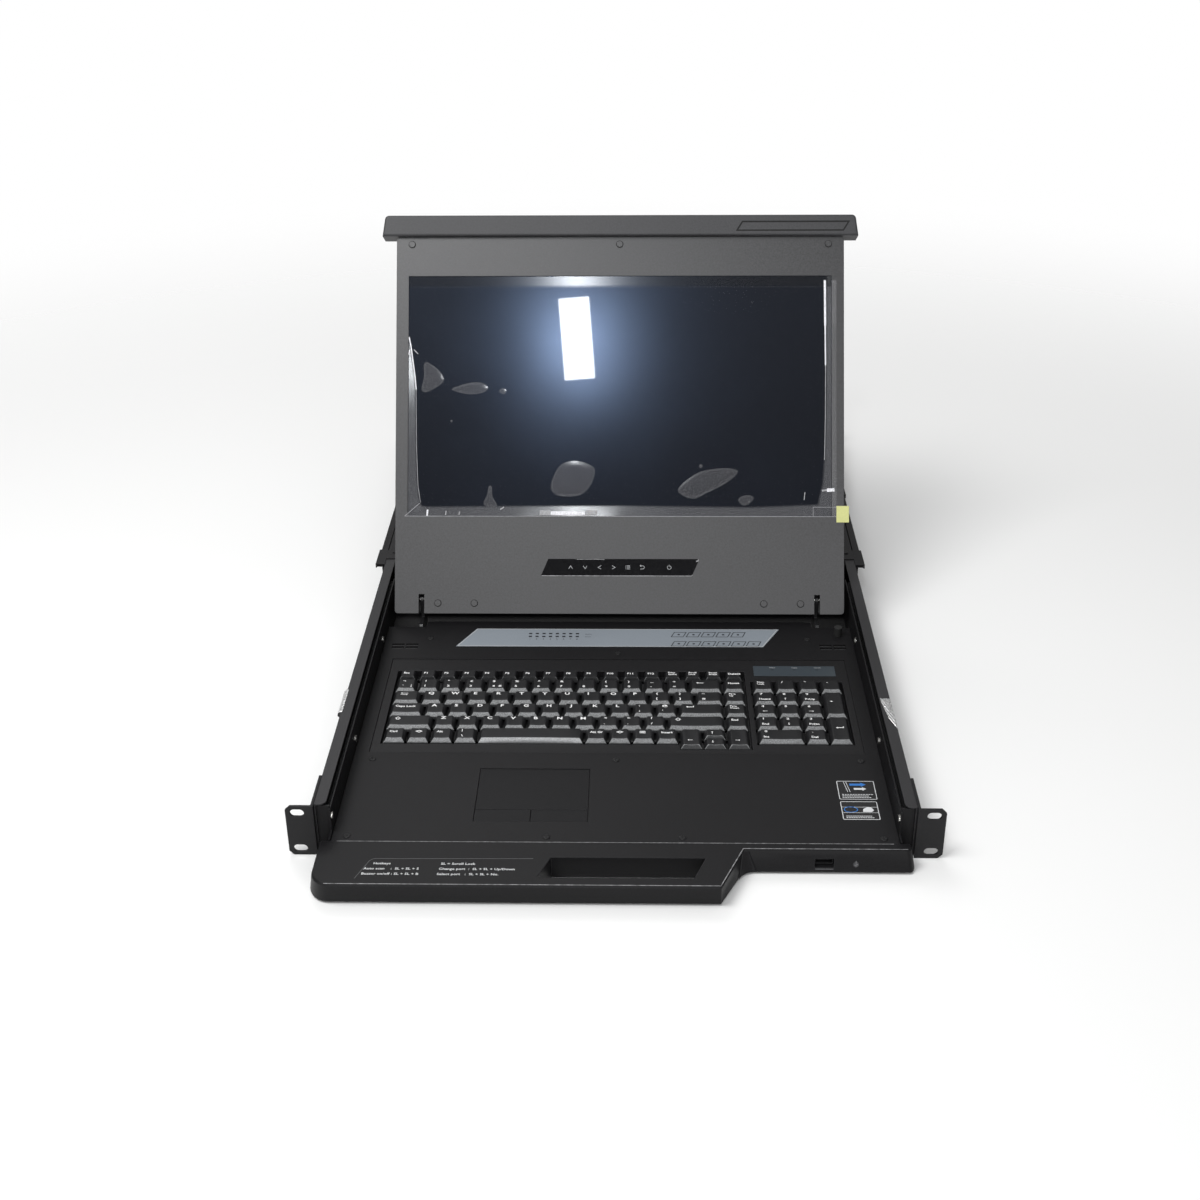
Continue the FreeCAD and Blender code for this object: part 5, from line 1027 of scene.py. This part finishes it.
crease = 0.05 * np.sin(film_x / 7.3 + 2.0 * np.sin(film_s / 11.0)) * rise
rolled_by = np.clip(film_s - TOP_FREE, 0, None)
top_roll = TOP_SLOPE * MM * rolled_by
dome = BLISTER_LIFT * np.sqrt(np.clip(trapped / RIM_RISE, 0, 1))
film_out = FILM_ON + LIFT * (rise + crease) + top_roll + dome
film_points = on_lid(np.stack([film_x * MM, film_s * MM, film_out], -1)).reshape(-1, 3)
film_faces = grid_faces(*film_x.shape)

# the film's alpha adds up from a base, the blisters and their paler rims, the part
# that stands off the panel, and the roll along the top, which is also clearer
clear_film, tree, shader = new_material("shipping_film", {"Roughness": 0.12, "Specular IOR Level": 1.0})
held = node(tree, "Attribute", attribute_name="trapped")
stands = node(tree, "Attribute", attribute_name="free")
rolled = node(tree, "Attribute", attribute_name="rolled")
blister = span(tree, -0.15, 0.35, 0.0, 0.12)
rim = span(tree, 0.2, 1.6, 0.07, 0.0)
within = span(tree, -0.2, 0.1, 0.0, 1.0)
loose = span(tree, -0.3, 2.0, 0.0, 0.17)
band = span(tree, 0.0, 2.5, 0.0, 0.22)
milk = span(tree, 0.0, 1.0, 1.0, 0.03)
white = node(tree, "VectorMath", {0: (0.42, 0.42, 0.44)}, operation="SCALE")
rim_on = node(tree, "Math", operation="MULTIPLY")
wire(tree, (held, "Fac", blister, "Value"), (held, "Fac", rim, "Value"), (held, "Fac", within, "Value"),
     (rim, 0, rim_on, 0), (within, 0, rim_on, 1), (stands, "Fac", loose, "Value"),
     (rolled, "Fac", band, "Value"), (rolled, "Fac", milk, "Value"), (milk, 0, white, "Scale"),
     (white, 0, shader, "Base Color"))
FILM_ALPHA, alpha = 0.004, None
for term in (blister, rim_on, loose, band):
    total = node(tree, "Math", {1: FILM_ALPHA}, operation="ADD")
    wire(tree, (term, 0, total, 0), *([(alpha, 0, total, 1)] if alpha else []))
    alpha = total
wire(tree, (alpha, 0, shader, "Alpha"))
film = put("shipping_film", film_points, film_faces, clear_film, "lid", "clear_film", sharp=180.0)
for attribute, values in (("trapped", trapped), ("free", free), ("rolled", rolled_by)):
    film.data.attributes.new(attribute, "FLOAT", "POINT").data.foreach_set("value", values.ravel())
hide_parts("screen_film")

# the pull tab is a folded strip of yellow tape on the film's lower corner
dress(coated("yellow_tab", (0.62, 0.63, 0.25), 0.4, contrast=0.05), "film_tab")
# pale lines and patches on the film's folds are painted highlights; the brightest, the glints, are painted
# reflections of the tube
FOLD_HIGHLIGHTS = (([(-195.0, 88.4), (-181.3, 100.2)], 0.5), ([(-195, 88.5), (196.5, 88.5)], 0.4),
         ([(-185.1, 204), (-184.4, 150), (-182.9, 116), (-180.6, 101)], 0.4),
         ([(-187.4, 240.5), (-183.6, 236.5)], 0.8), ([(186.8, 226), (186.6, 180), (185.9, 140)], 0.6),
         ([(168.2, 110.5), (167.4, 103.5)], 0.8), ([(175.6, 89.0), (175.6, 97.0), (196.5, 97.0)], 0.35),
         ([(183.5, 112.0), (188.0, 112.5)], 1.6), ([(-157.6, 89.6), (-157.2, 93.2)], 1.0),
         ([(-145.4, 89.8), (-145.0, 92.6)], 1.0), ([(-72, 91.8), (-62, 91.8)], 4.4),
         ([(-31, 91.8), (-20, 91.8)], 4.4), ([(-108.0, 94.5), (-104.5, 96.8)], 1.1))
GLINTS = (([(-191.8, 252), (-190.0, 243), (-187.6, 226), (-186.0, 214), (-185.1, 204)], 1.0),
          ([(-192.1, 236.0), (-190.9, 240.5)], 0.9), ([(186.2, 303.5), (186.5, 262)], 1.9),
          ([(186.5, 262), (186.8, 226)], 1.2), ([(188.0, 112.5), (194.8, 112.8)], 3.0),
          ([(-174.5, 88.8), (-174.0, 94.4)], 1.5), ([(-62, 91.4), (-31, 91.4)], 3.6))
for name, lines, shade in (("film_fold_highlights", FOLD_HIGHLIGHTS, 0.34), ("film_glints", GLINTS, 0.80)):
    lid_marks(name, [ribbon(np.array(line) * MM, wide * MM) for line, wide in lines], 0.00002,
              ink(name + "_light", (shade, shade, 1.04 * shade), 0.3, contrast=0.3), "clear_film")
# past the window on the right the film lies over the steel as a faint milky margin,
# which is doubled along its upper part
margin = ink("film_margin", (0.75, 0.75, 0.78), 0.25, contrast=0.2)
fill(margin.node_tree.nodes["Principled BSDF"], {"Alpha": 0.07})
MARGIN_MID, MARGIN_HALF, MARGIN_TOP = 0.19455, 0.00205, 0.3035
strips = [patch(MARGIN_MID, (MARGIN_TOP + foot) / 2, MARGIN_HALF, (MARGIN_TOP - foot) / 2)
          for foot in (0.089, 0.264)]
lid_marks("film_margin", strips, 0.00004, margin, "clear_film")

# ---------------------------------------------------------------- ceiling tube
# A lamp placed so that the eye mirrored in the display sees it through the corners
# of IMAGE: it hangs TUBE_FAR along those sight lines and faces the display.
PANEL_FACE = -0.0012
IMAGE = np.array([(-56.6, 288.0), (-27.4, 288.0), (-22.6, 212.8), (-49.0, 214.2)]) * MM
TUBE_FAR, TUBE_RADIANCE = 2.1, 120.0
panel_point = on_lid((0, 0.2, PANEL_FACE))
eye = np.array(CAMERA_AT)
mirrored = eye - 2 * np.dot(eye - panel_point, LID_OUT) * LID_OUT
seen_at = on_lid(np.column_stack([IMAGE, np.full(4, PANEL_FACE)]))
rays_out = seen_at - mirrored
lengths = np.linalg.norm(rays_out, axis=1, keepdims=True)
tube = seen_at + rays_out / lengths * TUBE_FAR
tube_long, tube_wide = (tube[:2].mean(0) - tube[2:].mean(0)), (tube[[1, 2]].mean(0) - tube[[0, 3]].mean(0))
lamp = soft_light("ceiling_tube", tube.mean(0), panel_point, np.linalg.norm(tube_wide),
                  np.linalg.norm(tube_long), TUBE_RADIANCE, (0.93, 0.97, 1.0))
back = tube.mean(0) - panel_point
back /= np.linalg.norm(back)
along = tube_long - np.dot(tube_long, back) * back
along /= np.linalg.norm(along)
axes = Matrix((Vector(np.cross(along, back)), Vector(along), Vector(back)))
lamp.rotation_quaternion = axes.transposed().to_quaternion()

# ---------------------------------------------------------------- lip print and groove
# A shallow groove, drawn as a pale line of painted highlight, frames the printed
# shortcuts. The seam and the front top edge get painted highlights, and the lip's face carries a port sign and
# the lamp's face.
LIP_TOP = 0.0185
groove = np.array([(-184, -51), (-176, -30.4), (-173, -28.2), (-58.3, -27.2)]) * MM
flat_marks("lip_groove", [ribbon(groove, 0.0005)], LIP_TOP + PRINT,
           coated("groove_highlight", (0.05, 0.05, 0.052), 0.4, edge_highlight_amount=0.0), "drawer", "lip_plastic")
# painted highlights: the seam between deck and lip, and the lip's front top edge
seam_light = ink("edge_light", (0.19, 0.19, 0.195), 0.4, contrast=0.8, speckle=260.0)
EDGE_SET = 0.0007
STEP_RUN, STEP_FOOT = (0.0755, -0.0580), (0.0937, -0.0150)
front_edge = [(-0.205, -0.0580), STEP_RUN, STEP_FOOT, (0.2130, -0.0150)]
flat_marks("painted_edge_lines", [ribbon([(-0.2035, -0.0077), (0.2035, -0.0077)], 0.0005),
                          ribbon(np.array(front_edge) + (0, EDGE_SET + 0.0004), 0.0007)],
           LIP_TOP + PRINT, seam_light, "drawer", "lip_plastic")
# the port's bar, and the arrow, shaft and two barbs of the sign on the lamp
symbol = [((0.1459, 0.0042), (0.1591, 0.0042), (0.1591, 0.0047), (0.1459, 0.0047)),
          ((0.1748, 0.0097), (0.1754, 0.0108), (0.1760, 0.0097), (0.1754, 0.0090)),
          ((0.1751, 0.0062), (0.1757, 0.0062), (0.1757, 0.0092), (0.1751, 0.0092)),
          ((0.1757, 0.0070), (0.1768, 0.0079), (0.1768, 0.0086), (0.1757, 0.0077)),
          ((0.1751, 0.0066), (0.1742, 0.0073), (0.1742, 0.0080), (0.1751, 0.0073))]
outline_lamp = arc_line(0.1754, 0.0079, 0.0020)
lamp_grey = coated("lamp_grey", (0.03, 0.03, 0.033), 0.3, edge_highlight_amount=0.0)
symbol_grey = coated("symbol_grey", (0.11, 0.11, 0.115), 0.5, edge_highlight_amount=0.0)
for name, shapes, material, proud in (("lamp_face", [outline_lamp], lamp_grey, 0.0001),
                                      ("port_symbols", symbol, symbol_grey, 0.0002)):
    standing = [solid([(x, step_face(z) - proud, z) for x, z in shape]) for shape in shapes]
    put(name, *gather(standing), material, "drawer", "lip_plastic")

# ---------------------------------------------------------------- deck vents
# Each vent slot in the deck has a rim of painted shade and a pale line in front of it, a painted highlight of
# its pressed edge.
VENT_X, VENT_Y, VENT_HALF, VENT_DEEP = (0.1955, 0.1832), (0.274, 0.279), 0.0050, 0.0016
vent_rims, vent_highlight_lines = [], []
for side in (-1, 1):
    for x in VENT_X:
        for y in VENT_Y:
            slot_rim = patch(side * x, y + VENT_DEEP / 2, VENT_HALF, VENT_DEEP / 2 + 0.0003)[0]
            vent_rims.append(ribbon(slot_rim, 0.0006, closed=True))
            vent_highlight_lines.append(ribbon(slot_rim[:2] - (0, 0.0006), 0.0005))
flat_marks("vent_rims", vent_rims, DECK_TOP + PRINT,
           ink("vent_shadow", (0.002, 0.002, 0.002), 0.9, contrast=0.0, gloss=0.0), "drawer", "deck_paint")
flat_marks("vent_highlight_lines", vent_highlight_lines, DECK_TOP + PRINT,
           coated("vent_edge", (0.06, 0.06, 0.062), 0.4, edge_highlight_amount=0.0, bump=0.0), "drawer", "deck_paint")

# ---------------------------------------------------------------- slide end guards
# The folded front end of each drawer wall closes off the slides beside it.
GUARD_X, GUARD_Y, GUARD_Z = (0.2092, 0.2190), (0.0050, 0.0064), (0.0045, 0.0408)
guards = []
for side in (-1, 1):
    inner, outer = sorted((side * GUARD_X[0], side * GUARD_X[1]))
    foot = ((inner, GUARD_Y[0]), (outer, GUARD_Y[0]), (outer, GUARD_Y[1]), (inner, GUARD_Y[1]))
    corners = np.array([(x, y, z) for z in GUARD_Z for x, y in foot])
    guards.append((corners, ring_faces(2, 4).tolist() + [(3, 2, 1, 0), (4, 5, 6, 7)]))
put("slide_end_guards", *gather(guards), deck_paint, "drawer", "deck_paint")

# ---------------------------------------------------------------- foil scraps
# A scrap of silver foil lies folded over the wall of the chassis on each side.


def foil_patch(name, section, rear):
    """A crumpled sheet: a section given as (x, z, front) in mm runs from its front to
    the rear, and crossed sine waves move it up and down by a fifth of a millimetre."""
    section = np.array(section, float)
    along = np.linspace(0, len(section) - 1, 30)
    x, z, front = (np.interp(along, np.arange(len(section)), section[:, axis]) for axis in range(3))
    share = np.linspace(0, 1, 40)[None, :]
    y = front[:, None] + (rear - front[:, None]) * share
    wave = 0.2 * np.sin(1.3 * y + 0.9 * x[:, None]) * np.sin(0.35 * y - 2.1 * x[:, None])
    points = np.stack([x[:, None] + 0 * y, y, z[:, None] + wave], -1).reshape(-1, 3) * MM
    return put(name, points, grid_faces(*y.shape)[:, [0, 3, 2, 1]], silver_foil, "chassis", "clear_film")


silver_foil = coated("silver_foil", (0.72, 0.72, 0.72), 0.30, contrast=0.1, peel=260.0, bump=0.8, depth=0.0003,
                     edge_highlight_amount=0.0, metal=1.0)
foil_patch("right_foil", ((212.5, 43.3, 148), (215.8, 43.3, 122), (220.3, 43.3, 108), (220.9, 42.8, 107),
                          (221.2, 34.0, 107)), 152)
foil_patch("left_foil", ((-222.9, 33.0, 136), (-224.3, 37.0, 132), (-223.4, 41.0, 130), (-221.4, 43.1, 129),
                         (-219.4, 43.3, 129)), 163)

# ---------------------------------------------------------------- printed shortcuts
# Two columns of plain white words inside the lip's groove.
LIP_COLUMNS = ((-180.0, ("     Hotkeys", "Auto scan    :  SL + SL + S", "Buzzer on/off : SL + SL + B")),
               (-126.0, ("SL = Scroll Lock", "Change port  :  SL + SL + Up/Down",
                         "Select port   :  SL + SL + No.")))
lip_words = []
for column, lines in LIP_COLUMNS:
    for step, line in enumerate(lines):
        lip_words.append(shifted(written(line, 0.0033, 0.02, 1.08), column * MM + 0.0009 * (2 - step),
                                 (-34.8 - 5.9 * step) * MM))
flat_marks("lip_words", lip_words, LIP_TOP + PRINT, white_ink, "drawer", "lip_plastic")
